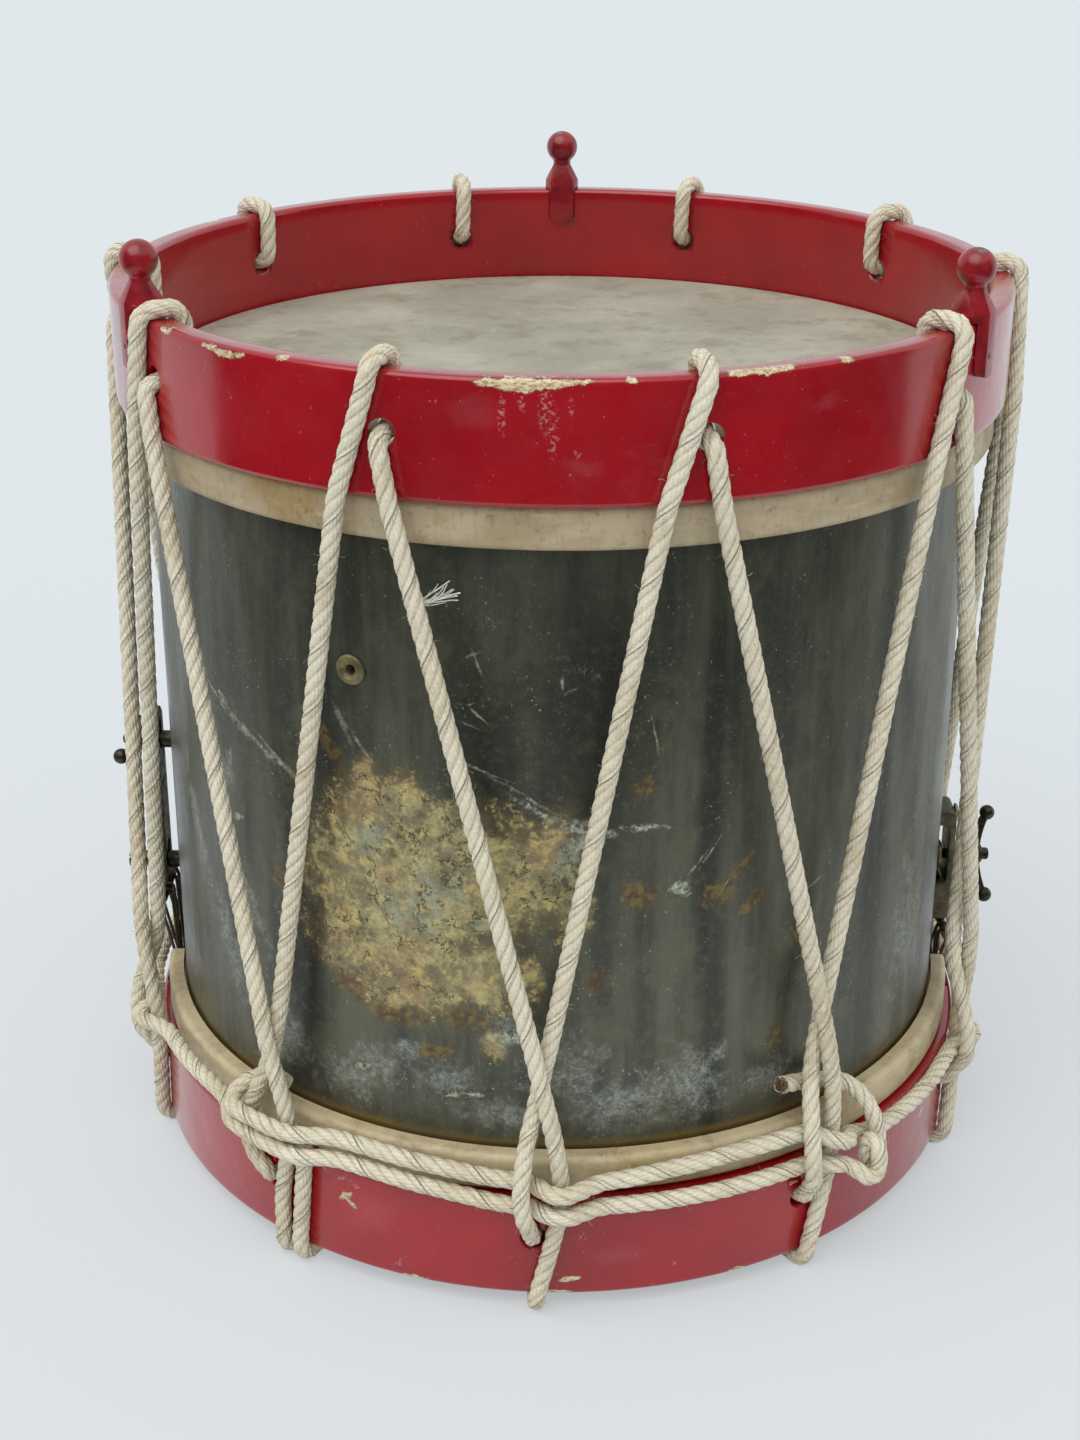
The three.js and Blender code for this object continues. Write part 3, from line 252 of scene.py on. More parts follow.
# Lacing. One laid hemp rope goes ten times up to the top rim, over it and out through its hole, and down
# under the lower hoop and out through that hole. Its routes are azimuth, height in hoop heights, and layer
# off the hoop.
rope_radius = 0.00375
rope_fullness = 0.00395
rope_strands = 4
rope_lay = 0.028
rope_sides = 24
groove_share = 0.14
seat_gap = 0.0003
layer_pitch = 0.0080
hoop_round = 0.0025
rope_hole_radius = 0.0055
hoop_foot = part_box("snare_counter_hoop")[0][2]
hoop_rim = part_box("batter_counter_hoop")[1][2]
hoop_height = hoop_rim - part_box("batter_counter_hoop")[0][2]
hoop_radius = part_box("batter_counter_hoop")[1][0]
hoop_wall = 0.011
hoop_inside = hoop_radius - hoop_wall
lying_radius = hoop_radius + seat_gap + rope_radius
turn_reach = seat_gap + rope_radius
top_hole = hoop_rim - 0.024
low_hole = hoop_foot + 0.030
lace_units = 10
lace_pitch = 360 / lace_units
hitch_unit = lace_units - 1
peg_unit = lace_units - 2
top_hole_azimuth, low_hole_azimuth, hitch_hole_azimuth = -19.7, -2.7, -3.4

rise_route = [(-3.1, 0.82, 0.5), (-3.5, 0.92, 1.0), (-3.9, 1.08, 1.04), (-4.0, 1.3, 0.93), (-3.4, 1.66, 0.2),
              (-2.6, 1.9, -0.36), (-1.8, 2.2, -0.57), (-0.9, 2.5, -0.58), (11.3, -1, 0)]
peg_rise_route = rise_route[:-1] + [(12.6, -1, 0), (14.0, -0.52, 0)]
hitch_rise_route = [(-5.3, 0.76, 0), (-6.6, 0.88, 0), (-7.0, 1.04, 0), (-6.3, 1.22, 0), (-5.2, 1.42, 0.03),
                    (-3.8, 1.65, 0.02), (-2.6, 1.9, -0.38), (-1.8, 2.2, -0.57), (-0.9, 2.5, -0.58),
                    (11.3, -1, 0)]
fall_route = [(-18.5, -1, 0), (-2.7, 2.56, 0.36), (-1.6, 2.2, 0.48), (-0.5, 1.84, 0.4), (0.3, 1.48, 0.18),
              (0.7, 1.2, 0), (0.7, 0.96, 0), (-0.8, 0.46, 0), (-1.9, 0.14, 0)]
hitch_fall_route = [(-18.5, -1, 0), (-2.7, 2.56, 0.36), (-1.6, 2.2, 0.48), (-0.5, 1.84, 0.36),
                    (0.3, 1.48, 0.08), (0.6, 1.3, 0), (0.4, 1.0, 0), (-0.4, 0.76, 0), (-1.0, 0.5, 0),
                    (-1.1, 0.14, 0)]
tuck_route = [(1.7, 0.14, 0), (2.2, 0.45, 0), (2.6, 0.76, 0), (3.0, 1.0, 0), (3.1, 1.2, 0)]


def polar(azimuth, radius, height):
    angle = math.radians(azimuth)
    return Vector((radius * math.sin(angle), -radius * math.cos(angle), height))


def lay_point(azimuth, height_share, layer):
    start = hoop_rim if height_share < 0 else hoop_foot
    return polar(azimuth, lying_radius + layer * layer_pitch, start + height_share * hoop_height)


def edge_turn(centre_radius, centre_height, reach, from_degrees, to_degrees, azimuths):
    """The rope's turn round an edge, in the plane of radius and height, while its azimuth drifts."""
    points, steps = [], 5
    for i in range(steps + 1):
        share = i / steps
        angle = math.radians(from_degrees + (to_degrees - from_degrees) * share)
        azimuth = azimuths[0] + (azimuths[1] - azimuths[0]) * share
        height = centre_height + reach * math.sin(angle)
        points.append(polar(azimuth, centre_radius + reach * math.cos(angle), height))
    return points


def round_hoop_edge(edge, down, azimuths):
    sign = -1 if down else 1
    middle = sum(azimuths) / 2
    reach = hoop_round + turn_reach
    centre = edge - sign * hoop_round
    return (edge_turn(hoop_radius - hoop_round, centre, reach, 0, sign * 90, (azimuths[0], middle))
            + edge_turn(hoop_inside + hoop_round, centre, reach, sign * 90, sign * 180,
                        (middle, azimuths[1])))


def through_hole(hole, from_above, azimuths):
    sign = 1 if from_above else -1
    return (edge_turn(hoop_inside, hole + sign * rope_hole_radius, turn_reach, 180, 180 + sign * 90,
                      (azimuths[0], azimuths[0]))
            + edge_turn(hoop_radius, hole - sign * rope_hole_radius, turn_reach, sign * 90, 0, azimuths))


def lacing_route():
    route = []
    for i in range(lace_units):
        unit = (hitch_unit + i) % lace_units
        base = lace_pitch * unit
        is_first, is_last = i == 0, i == lace_units - 1
        hole = base + (hitch_hole_azimuth if is_first else low_hole_azimuth)
        if is_first:
            route.append(polar(hole - 1.4, hoop_inside - turn_reach, hoop_foot + 0.18 * hoop_height))
        route += through_hole(low_hole, False, (hole, hole - 0.3))
        rise = hitch_rise_route if is_first else peg_rise_route if unit == peg_unit else rise_route
        route += [lay_point(a + base, h, l) for a, h, l in rise]
        route += round_hoop_edge(hoop_rim, False, (base + 15.4, base + 16.1))
        route += through_hole(top_hole, True, (base + 16.3, base + 16.5))
        turn = base + lace_pitch
        route += [lay_point(a + turn, h, l) for a, h, l in (hitch_fall_route if is_last else fall_route)]
        if not is_last:
            route += round_hoop_edge(hoop_foot, True, (turn - 2.2, turn - 2.7))
            continue
        down, up = turn - 1.1, turn + 1.7
        within = hoop_inside - turn_reach
        turn_radius = math.radians(up - down) * within / 2
        route += round_hoop_edge(hoop_foot, True, (down, down))
        for step in range(9):
            angle = math.pi * step / 8
            azimuth = down + (up - down) * (1 - math.cos(angle)) / 2
            height = hoop_foot + 0.34 * hoop_height + turn_radius * math.sin(angle)
            route.append(polar(azimuth, within, height))
        route += round_hoop_edge(hoop_foot, True, (up, up))[::-1]
        route += [lay_point(a + turn, h, l) for a, h, l in tuck_route]
    return route


def eased(route, most=0.005):
    """The same route with each corner drawn as a short curve, as a rope takes it."""
    points, steps = [route[0]], 4
    for before, corner, after in zip(route, route[1:], route[2:]):
        back, on = before - corner, after - corner
        if back.length < 1e-6 or on.length < 1e-6:
            continue
        enter = corner + back.normalized() * min(most, back.length / 2)
        leave = corner + on.normalized() * min(most, on.length / 2)
        for step in range(steps + 1):
            t = step / steps
            points.append(enter * (1 - t) ** 2 + corner * 2 * t * (1 - t) + leave * t ** 2)
    points.append(route[-1])
    return points


def geometry_tree(name, start, numbers, whole_numbers, result):
    """A Geometry Nodes tree with named inputs, and a function that adds a node to it."""
    tree = bpy.data.node_groups.new(name, "GeometryNodeTree")
    face = tree.interface
    face.new_socket(start, in_out="INPUT", socket_type="NodeSocketGeometry")
    for names, kind in ((numbers, "NodeSocketFloat"), (whole_numbers, "NodeSocketInt")):
        for socket in names:
            face.new_socket(socket, in_out="INPUT", socket_type=kind)
    face.new_socket("Finish", in_out="INPUT", socket_type="NodeSocketMaterial")
    face.new_socket(result, in_out="OUTPUT", socket_type="NodeSocketGeometry")

    def add(kind, inputs=(), **settings):
        made = tree.nodes.new(kind)
        for name, value in settings.items():
            setattr(made, name, value)
        for socket, value in dict(inputs).items():
            if isinstance(value, bpy.types.NodeSocket):
                tree.links.new(value, made.inputs[socket])
            else:
                made.inputs[socket].default_value = value
        return made

    return tree, add


def laid_cord_tree():
    """A cord of some strands laid together along a row of points."""
    tree, add = geometry_tree("laid cord", "Route", ("Radius", "Lay length", "Ring spacing", "Groove depth"),
                              ("Sides", "Strands"), "Cord")

    def reckon(operation, a, b=0.0):
        return add("ShaderNodeMath", {0: a, 1: b}, operation=operation).outputs[0]

    given = add("NodeGroupInput").outputs
    line = add("GeometryNodeMeshToCurve", {"Mesh": given["Route"]}).outputs[0]
    line = add("GeometryNodeResampleCurve", {"Curve": line, "Length": given["Ring spacing"]},
               mode="LENGTH").outputs[0]
    run = add("GeometryNodeSplineParameter").outputs["Length"]
    turn = reckon("MULTIPLY", reckon("DIVIDE", run, given["Lay length"]), 2 * math.pi)
    line = add("GeometryNodeSetCurveTilt", {"Curve": line, "Tilt": turn}).outputs[0]
    line = add("GeometryNodeStoreNamedAttribute", {"Geometry": line, "Name": "run", "Value": run},
               data_type="FLOAT", domain="POINT").outputs[0]
    ring = add("GeometryNodeCurvePrimitiveCircle", {"Resolution": given["Sides"],
                                                    "Radius": given["Radius"]}).outputs[0]
    around = add("GeometryNodeSplineParameter").outputs["Factor"]
    half_turns = reckon("MULTIPLY", around, reckon("MULTIPLY", given["Strands"], math.pi))
    crown = reckon("ABSOLUTE", reckon("COSINE", half_turns))
    hollow = reckon("MULTIPLY", given["Groove depth"], reckon("SUBTRACT", 1.0, crown))
    shrink = reckon("SUBTRACT", 1.0, hollow)
    outline = add("ShaderNodeVectorMath", {0: add("GeometryNodeInputPosition").outputs[0], "Scale": shrink},
                  operation="SCALE").outputs[0]
    ring = add("GeometryNodeSetPosition", {"Geometry": ring, "Position": outline}).outputs[0]
    for name, value in (("around", around), ("crown", crown)):
        ring = add("GeometryNodeStoreNamedAttribute", {"Geometry": ring, "Name": name, "Value": value},
                   data_type="FLOAT", domain="POINT").outputs[0]
    cord = add("GeometryNodeCurveToMesh", {"Curve": line, "Profile Curve": ring,
                                           "Fill Caps": True}).outputs[0]
    cord = add("GeometryNodeRealizeInstances", {"Geometry": cord}).outputs[0]
    cord = add("GeometryNodeSetMaterial", {"Geometry": cord, "Material": given["Finish"]}).outputs[0]
    add("NodeGroupOutput", {"Cord": cord})
    return tree


laid_cord = laid_cord_tree()


def as_made(host):
    """A plain mesh of the object as its modifiers leave it."""
    bpy.context.view_layer.update()
    return bpy.data.meshes.new_from_object(host.evaluated_get(bpy.context.evaluated_depsgraph_get()))


def grow(name, host_mesh, tree, **values):
    """Runs a Geometry Nodes tree on a mesh and gives back a plain object of what it makes."""
    host = stand(name, host_mesh)
    modifier = host.modifiers.new("made", "NODES")
    modifier.node_group = tree
    sockets = {item.name: item.identifier for item in tree.interface.items_tree if item.in_out == "INPUT"}
    for socket, value in values.items():
        modifier[sockets[socket.replace("_", " ")]] = value
    made = as_made(host)
    host.modifiers.remove(modifier)
    host.data = made
    made.name = name
    made.shade_smooth()
    return host


def paint(made, name, values):
    """A value for each point of the mesh, for its finish to read."""
    made.attributes.new(name, "FLOAT", "POINT").data.foreach_set("value", values)


def lift_off_floor(piece):
    for vertex in piece.data.vertices:
        vertex.co.z = max(vertex.co.z, 0.0)


def hand_over(piece, body, node_name):
    """The piece rides on the body and stands for the CAD node, which it hides."""
    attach(piece, body)
    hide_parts(node_name)


def laid(name, route, radius, strands, lay_length, spacing, sides, groove, finish):
    line = bpy.data.meshes.new(name + " line")
    line.from_pydata(route, [(i, i + 1) for i in range(len(route) - 1)], [])
    return grow(name, line, laid_cord, Radius=radius, Lay_length=lay_length, Ring_spacing=spacing,
                Groove_depth=groove, Sides=sides, Strands=strands, Finish=finish.material)


hemp = Finish("hemp rope", Roughness=0.92, Specular_IOR_Level=0.15)
hemp_yarn = (hemp.field("run") * (1.15 / rope_lay) + hemp.field("around")) * 30.0
hemp_yarn = hemp.node("Math", {0: hemp_yarn, 1: 1.0}, operation="PINGPONG")
hemp_crown = (hemp.field("crown") + hemp.grain(0.004, 4) * 0.3).band(-0.15, 0.8)
hemp_colour = hemp.grain(0.045, 6, 0.7).band(0.42, 0.66).blend((234, 223, 198), (212, 195, 165))
hemp_colour = (hemp.grain(0.0035, 5, 0.7).band(0.4, 0.7) * 0.6).blend(hemp_colour, (244, 236, 216))
hemp_colour = (hemp_yarn.band(0.55, 1.0) * 0.2).blend(hemp_colour, (196, 177, 147))
hemp_colour = (hemp.grain(0.002, 6, 0.85).band(0.57, 0.68) * 0.7).blend(hemp_colour, (150, 122, 96))
# Painted shade: the grooves between the strands are painted a darker, mottled brown; the crowns keep the
# rope's colour
hemp_groove_shade = hemp.grain(0.006, 6, 0.75).band(0.46, 0.62).blend((198, 182, 153), (146, 126, 100))
hemp_colour = hemp_crown.blend(hemp_groove_shade, hemp_colour)
hemp.give("Base Color", hemp_colour)
hemp.give("Normal", hemp_yarn.relief(0.00025, hemp.grain(0.0011, 3, 0.7).relief(0.0006)))

tension_rope = laid("hemp_lacing", eased(lacing_route()), rope_fullness, rope_strands, rope_lay, 0.0021,
                    rope_sides, groove_share, hemp)
lift_off_floor(tension_rope)
hand_over(tension_rope, "drum", "tension_rope")


# Trailing rope. The lacing's spare end, kept on the drum for carrying: it starts behind the left V, runs
# along the lower hoop behind and in front of each V, goes once round, and is knotted round the right V and
# itself.
tail_start = [(-37.7, 1.595, -1.02), (-38.5, 1.59, -1.05), (-41.1, 1.57, -1.05), (-42.9, 1.53, -0.65),
              (-44.0, 1.45, 0), (-44.1, 1.39, 0.5), (-43.0, 1.35, 0.98), (-41.2, 1.34, 1.06),
              (-38.2, 1.34, 1.02), (-35.3, 1.335, 1.02), (-33, 1.33, 0.8), (-30.6, 1.33, 0.2),
              (-28.2, 1.33, -0.2)]
upper_front = [(-18, 1.3, -0.2), (-8, 1.24, -0.2), (-5.6, 1.23, -0.2)]
weave = [(-3.9, 0), (-2.9, 0.05), (-1.6, 0.5), (-0.5, 0.93), (0.7, 1.05), (1.9, 0.93), (3.6, 0.45), (5.6, 0)]
upper_knot = [(8.5, 1.23, -0.2), (17, 1.3, -0.2), (28, 1.33, -0.2), (30.5, 1.33, -0.2), (32.1, 1.32, -0.2),
              (33.1, 1.31, -0.13), (34.2, 1.29, 0.34), (35.4, 1.265, 0.95), (36.7, 1.22, 1.07),
              (37.6, 1.2, 1.0), (38.4, 1.17, 0.65), (39.2, 1.145, 0.15), (40.2, 1.12, 0), (42, 1.07, 0),
              (44, 1.03, 0), (48, 1.0, 0.02), (54, 1.0, 0.05), (60, 1.0, 0.03)]
single_vees = [(72, 1.0), (108, 1.02), (144, 1.05), (180, 1.09), (216, 1.13), (252, 1.17), (288, 1.21)]
lower_start = [(300, 1.22, -0.15), (306, 1.22, -0.15), (312.3, 1.215, -0.05), (314.3, 1.2, 0.3),
               (315.9, 1.185, 0.87), (317.4, 1.17, 1.03), (321, 1.15, 1.02), (324.7, 1.145, 1.02),
               (327, 1.14, 1.03), (328.4, 1.138, 0.9), (330, 1.135, 0.35), (332, 1.13, -0.05), (342, 1.1, 0),
               (352, 1.02, 0), (354.4, 1.0, 0)]
lower_knot = [(368.5, 0.99, 0), (374, 0.995, 0.02), (380, 1.0, 0.05), (386, 1.0, 0.02), (392.1, 1.0, 0),
              (393.3, 1.0, 0.03), (394.4, 1.0, 0.47), (395.6, 1.0, 0.9), (396.7, 0.99, 1.05),
              (397.5, 0.965, 1.3), (398.1, 0.92, 1.75), (398.7, 0.87, 2.05), (399.5, 0.855, 2.15),
              (400.2, 0.885, 2.15), (400.4, 0.96, 2.15), (400.4, 1.06, 2.12), (400.4, 1.15, 1.95),
              (400.4, 1.18, 1.62), (400.4, 1.15, 1.27), (400.4, 1.06, 1.13), (400.4, 0.98, 1.12),
              (400.8, 0.91, 1.12), (401.6, 0.88, 1.12), (402.4, 0.91, 1.12), (402.7, 0.98, 1.12),
              (402.7, 1.16, 1.0), (402.4, 1.36, 0.55), (401.2, 1.54, -0.1), (399.4, 1.65, -0.55),
              (397.4, 1.69, -0.9), (395, 1.72, -1.07), (392.6, 1.76, -1.08), (390.8, 1.8, -0.9),
              (389.4, 1.84, -0.65)]


def trailing_route():
    def sunk(height):
        return -0.2 * min(max((height - 1) / 0.1, 0), 1)

    def vee(azimuth, height):
        return [(azimuth + a, height, l + sunk(height) * (1 - l)) for a, l in weave]

    rows = tail_start + upper_front + vee(0, 1.215) + upper_knot
    for i, (azimuth, level) in enumerate(single_vees):
        rows += vee(azimuth, level)
        if i < len(single_vees) - 1:
            between = (level + single_vees[i + 1][1]) / 2
            rows += [(azimuth + a, between, 0.06 + sunk(between)) for a in (14, 23.5)]
    rows += lower_start + vee(360, 0.99) + lower_knot
    return [lay_point(*row) for row in rows]


trailing_rope_points = eased(trailing_route(), most=0.006)
trailing_rope = laid("trailing_rope_end", trailing_rope_points, rope_fullness, rope_strands, rope_lay,
                     0.0019, rope_sides, groove_share, hemp)
hand_over(trailing_rope, "drum", "trailing_rope")


# Loose fibres. The rope's cut end has come apart into brown yarns, a tuft of lint hangs on the rope in
# front, and short hairs of hemp stand off it everywhere.
def fibre_tree():
    """Fine bent fibres sown over a mesh, standing along its normals with a lean of their own."""
    tree, add = geometry_tree("fibres", "Ground", ("Length", "Thickness", "Spread", "Per square metre"),
                              ("Seed",), "Fibres")
    given = add("NodeGroupInput").outputs
    sown = add("GeometryNodeDistributePointsOnFaces",
               {"Mesh": given["Ground"], "Density": given["Per square metre"], "Seed": given["Seed"]})
    fibre = add("GeometryNodeCurvePrimitiveBezierSegment", {
        "Resolution": 4, "Start": (0, 0, -0.15), "Start Handle": (0, 0, 0.45), "End Handle": (0.1, 0.1, 0.8),
        "End": (0.5, 0.1, 0.95)}).outputs[0]
    share = add("ShaderNodeMath", {0: given["Thickness"], 1: given["Length"]}, operation="DIVIDE").outputs[0]
    ring = add("GeometryNodeCurvePrimitiveCircle", {"Resolution": 3, "Radius": share}).outputs[0]
    fibre = add("GeometryNodeCurveToMesh", {"Curve": fibre, "Profile Curve": ring,
                                            "Fill Caps": True}).outputs[0]
    lean = add("FunctionNodeRandomValue", {0: (-1, -1, -3), 1: (1, 1, 3), "Seed": given["Seed"]},
               data_type="FLOAT_VECTOR").outputs[0]
    lean = add("ShaderNodeVectorMath", {0: lean, "Scale": given["Spread"]}, operation="SCALE").outputs[0]
    lean = add("FunctionNodeRotateRotation", {"Rotation": sown.outputs["Rotation"], "Rotate By": lean},
               rotation_space="LOCAL").outputs[0]
    size = add("FunctionNodeRandomValue", {2: 0.3, 3: 1.0, "Seed": given["Seed"]},
               data_type="FLOAT").outputs[1]
    size = add("ShaderNodeMath", {0: size, 1: given["Length"]}, operation="MULTIPLY").outputs[0]
    loose = add("GeometryNodeInstanceOnPoints", {"Points": sown.outputs["Points"], "Instance": fibre,
                                                 "Rotation": lean, "Scale": size}).outputs[0]
    loose = add("GeometryNodeRealizeInstances", {"Geometry": loose}).outputs[0]
    loose = add("GeometryNodeSetMaterial", {"Geometry": loose, "Material": given["Finish"]}).outputs[0]
    add("NodeGroupOutput", {"Fibres": loose})
    return tree


def drawn(name, shape):
    """The bmesh as a mesh."""
    made = bpy.data.meshes.new(name)
    shape.to_mesh(made)
    shape.free()
    return made


def small_disc(name, centre, facing, radius):
    disc = bmesh.new()
    bmesh.ops.create_circle(disc, cap_ends=True, segments=8, radius=radius, matrix=Matrix.Translation(centre)
                            @ facing.to_track_quat("Z", "Y").to_matrix().to_4x4())
    return drawn(name, disc)


fibres = fibre_tree()


def fibre_finish(name, size, pale, dark):
    """A finish of clouds of two colours, about that size."""
    finish = Finish(name, Roughness=0.9, Specular_IOR_Level=0.2)
    finish.give("Base Color", finish.grain(size, 4).band(0.4, 0.6).blend(pale, dark))
    return finish


pale_fibre = fibre_finish("hemp fibre", 0.003, (226, 214, 188), (178, 156, 124))
lint = fibre_finish("lint", 0.003, (230, 227, 216), (206, 200, 184))
brown_fibre = fibre_finish("brown hemp fibre", 0.002, (150, 122, 96), (100, 78, 58))
rope_end = trailing_rope_points[-1]
shell_lay = lying_radius - 0.58 * layer_pitch
rope_end_facing = (rope_end - trailing_rope_points[-2]).normalized()
lint_at = polar(-15.3, shell_lay + 0.0020, hoop_foot + 0.3215)
splinter_at = polar(31.2, lying_radius + 0.0012, hoop_foot + 0.0435)
end_yarns = small_disc("end", rope_end - rope_end_facing * 0.001, rope_end_facing, 0.0034)
end_hairs = small_disc("end", rope_end, rope_end_facing, 0.0030)
lint_tuft = small_disc("lint", lint_at, Vector((0.9, -0.25, 0.3)), 0.0016)
splinter = small_disc("splinter", splinter_at, Vector((-0.86, -0.5, 0.2)), 0.0006)
for name, ground, length, thickness, spread, density, seed, finish in (
        ("lacing_hairs", tension_rope.data.copy(), 0.0032, 0.00006, 0.8, 9000, 3, pale_fibre),
        ("trailing_rope_hairs", trailing_rope.data.copy(), 0.0032, 0.00006, 0.8, 9000, 4, pale_fibre),
        ("rope_end_yarns", end_yarns, 0.0042, 0.00045, 0.12, 3.0e6, 5, brown_fibre),
        ("rope_end_hairs", end_hairs, 0.007, 0.00010, 0.4, 1.6e6, 6, brown_fibre),
        ("lint_on_the_rope", lint_tuft, 0.015, 0.00036, 0.26, 2.2e6, 7, lint),
        ("splinter_in_the_rope", splinter, 0.0065, 0.00040, 0.04, 4.0e6, 9, pale_fibre)):
    loose_fibres = grow(name, ground, fibres, Length=length, Thickness=thickness, Spread=spread,
                        Per_square_metre=density, Seed=seed, Finish=finish.material)
    lift_off_floor(loose_fibres)
    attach(loose_fibres, "drum")


# Counter hoops. Two bent ash hoops, 50 mm deep, painted red and varnished; ten rope holes are bored through
# each, and years of rope and hands have chipped the edges down to the wood.
def turned(name, outline, segments, closed=True):
    """A mesh turned round Z from (radius, height) points; a radius of 0 is a point on the axis."""
    shape = bmesh.new()
    rings = []
    for radius, height in outline:
        if radius < 1e-7:
            rings.append([shape.verts.new((0, 0, height))] * segments)
        else:
            spokes = [2 * math.pi * k / segments for k in range(segments)]
            rings.append([shape.verts.new((radius * math.cos(a), radius * math.sin(a), height))
                          for a in spokes])
    for lower, upper in zip(rings, rings[1:] + rings[:1] if closed else rings[1:]):
        for k in range(segments):
            corners = [lower[k], lower[(k + 1) % segments], upper[(k + 1) % segments], upper[k]]
            corners = [c for i, c in enumerate(corners) if c not in corners[:i]]
            if len(corners) > 2:
                shape.faces.new(corners)
    bmesh.ops.recalc_face_normals(shape, faces=shape.faces)
    return drawn(name, shape)


def solid_box(low, high):
    shape = bmesh.new()
    bmesh.ops.create_cube(shape, size=1, matrix=Matrix.Translation([(a + b) / 2 for a, b in zip(low, high)])
                          @ Matrix.Diagonal([b - a for a, b in zip(low, high)] + [1]))
    return drawn("block", shape)


def smooth(made, sharp_degrees=40):
    """Shades the mesh smooth but for its sharp edges."""
    made.shade_smooth()
    made.set_sharp_from_angle(angle=math.radians(sharp_degrees))


def stand_up(name, made, finish, sharp_degrees=40):
    """An object of that mesh and finish."""
    made.materials.clear()
    made.materials.append(finish.material)
    smooth(made, sharp_degrees)
    return stand(name, made)


def cut(piece, tool):
    """Cuts the tool's mesh out of the piece's."""
    holder = stand("tool", tool)
    modifier = piece.modifiers.new("cut", "BOOLEAN")
    modifier.operation, modifier.solver, modifier.object = "DIFFERENCE", "EXACT", holder
    made = as_made(piece)
    piece.modifiers.remove(modifier)
    piece.data = made
    bpy.data.objects.remove(holder)


def joined(name, meshes):
    shape = bmesh.new()
    for one in meshes:
        shape.from_mesh(one)
    return drawn(name, shape)


def placed(made, *moves):
    """The mesh after each move, given in the order that they are made."""
    for move in moves:
        made.transform(move)
    return made


def turn(degrees, axis):
    return Matrix.Rotation(math.radians(degrees), 4, axis)


def shift(x, y, z):
    return Matrix.Translation((x, y, z))


def facing(azimuth):
    """Turns what is drawn with +X outwards to that azimuth."""
    return turn(azimuth - 90, "Z")


def arc(centre_radius, centre_height, reach, from_degrees, to_degrees, steps=5):
    angles = [math.radians(from_degrees + (to_degrees - from_degrees) * i / steps) for i in range(steps + 1)]
    return [(centre_radius + reach * math.cos(a), centre_height + reach * math.sin(a)) for a in angles]


def rows_between(start, end, spacing):
    """Points on the way from start to end, without either."""
    count = max(1, round(math.dist(start, end) / spacing))
    return [tuple(a + (b - a) * i / count for a, b in zip(start, end)) for i in range(1, count)]


hoop_outline = (arc(hoop_radius - hoop_round, hoop_round, hoop_round, -90, 0)
                + rows_between((hoop_radius, hoop_round), (hoop_radius, hoop_height - hoop_round), 0.0018)
                + arc(hoop_radius - hoop_round, hoop_height - hoop_round, hoop_round, 0, 90)
                + arc(hoop_inside + hoop_round, hoop_height - hoop_round, hoop_round, 90, 180)
                + rows_between((hoop_inside, hoop_height - hoop_round), (hoop_inside, hoop_round), 0.005)
                + arc(hoop_inside + hoop_round, hoop_round, hoop_round, 180, 270))

rope_hole_tool = placed(turned("rope hole", [
    (0, -0.0040), (0.0070, -0.0040), (0.0070, -0.0006), (rope_hole_radius, 0.0007),
    (rope_hole_radius, hoop_wall - 0.0007), (0.0070, hoop_wall + 0.0006), (0.0070, hoop_wall + 0.0040),
    (0, hoop_wall + 0.0040)], 24), turn(90, "Y"), shift(hoop_inside, 0, 0))

red_paint = Finish("red hoop paint", Specular_IOR_Level=0.25, Coat_Weight=1.0, Coat_Roughness=0.14)
paint_chips = [(-43, 409, 5, 1.2, 0), (-40.5, 408, 6, 1.7, 0), (-38, 408.8, 3, 1.1, 0),
               (-7.5, 409.2, 6, 1.5, 0), (-4.5, 408.6, 10, 2.6, 0), (-1.5, 409.2, 9, 1.8, 0),
               (1.6, 409.7, 7, 1.1, 0), (7.5, 410, 2.4, 1.1, 0), (19.5, 410.6, 5, 1.2, 0),
               (22.5, 410.4, 8, 1.5, 0), (25.2, 410.7, 4, 1.0, 0), (-32, 410.6, 3, 1, 0),
               (-52, 410, 4, 1.2, 0), (33, 410.6, 3, 1, 0), (95, 410, 6, 1.5, 0), (130, 409, 9, 1.6, 0),
               (-120, 410, 7, 1.8, 0), (-150, 409, 5, 1.6, 0), (165, 362, 7, 1.5, 0),
               (-27.6, 35, 4.4, 1.4, 35), (-26.9, 32, 3.4, 1.2, -40), (1.9, 8.5, 5, 1.4, 12),
               (-0.3, 1.5, 9, 1.2, 0), (-18, 1.4, 6, 1.2, 0), (24, 1.6, 4, 1.2, 0), (110, 2, 9, 1.5, 0),
               (-130, 30, 5, 1.6, 40), (170, 2, 8, 1.4, 0), (-75, 20, 4, 1.6, 0), (60, 30, 3, 1.2, 30),
               (-160, 3, 7, 1.3, 0)]
paint_drips = [(-1.6, 400, 2.2, 8, 0), (-0.8, 391, 1.8, 9, 0), (-6.2, 397, 1.3, 7, 0), (-4.0, 402, 1.6, 3, 0),
               (1.2, 401, 0.9, 3, 0), (-13.8, 401, 1.6, 1.4, 0), (1.8, 383, 1.2, 1.6, 0),
               (-40, 392, 0.9, 1.2, 0), (-28.6, 43, 6, 1.2, 40), (-26.2, 42, 4, 1.0, -30),
               (-20, 8, 5, 1.0, 50), (3.4, 30, 3, 1.4, 60), (15, 12, 1.4, 1.4, 0), (120, 390, 4, 10, 0),
               (-100, 392, 3, 8, 0)]
paint_hazes = [(-9, 398, 7, 4, 0), (2.4, 377, 6, 3.4, -20), (30, 396, 6, 3, 0), (-24, 30, 12, 8, 30),
               (8, 20, 10, 4, 0), (140, 380, 14, 8, 0), (-70, 30, 10, 10, 0)]
level_place = red_paint.node("VectorMath", {0: red_paint.place, 1: (1, 1, 0)}, operation="MULTIPLY")
off_axis = red_paint.node("VectorMath", {0: level_place}, "Value", operation="LENGTH")
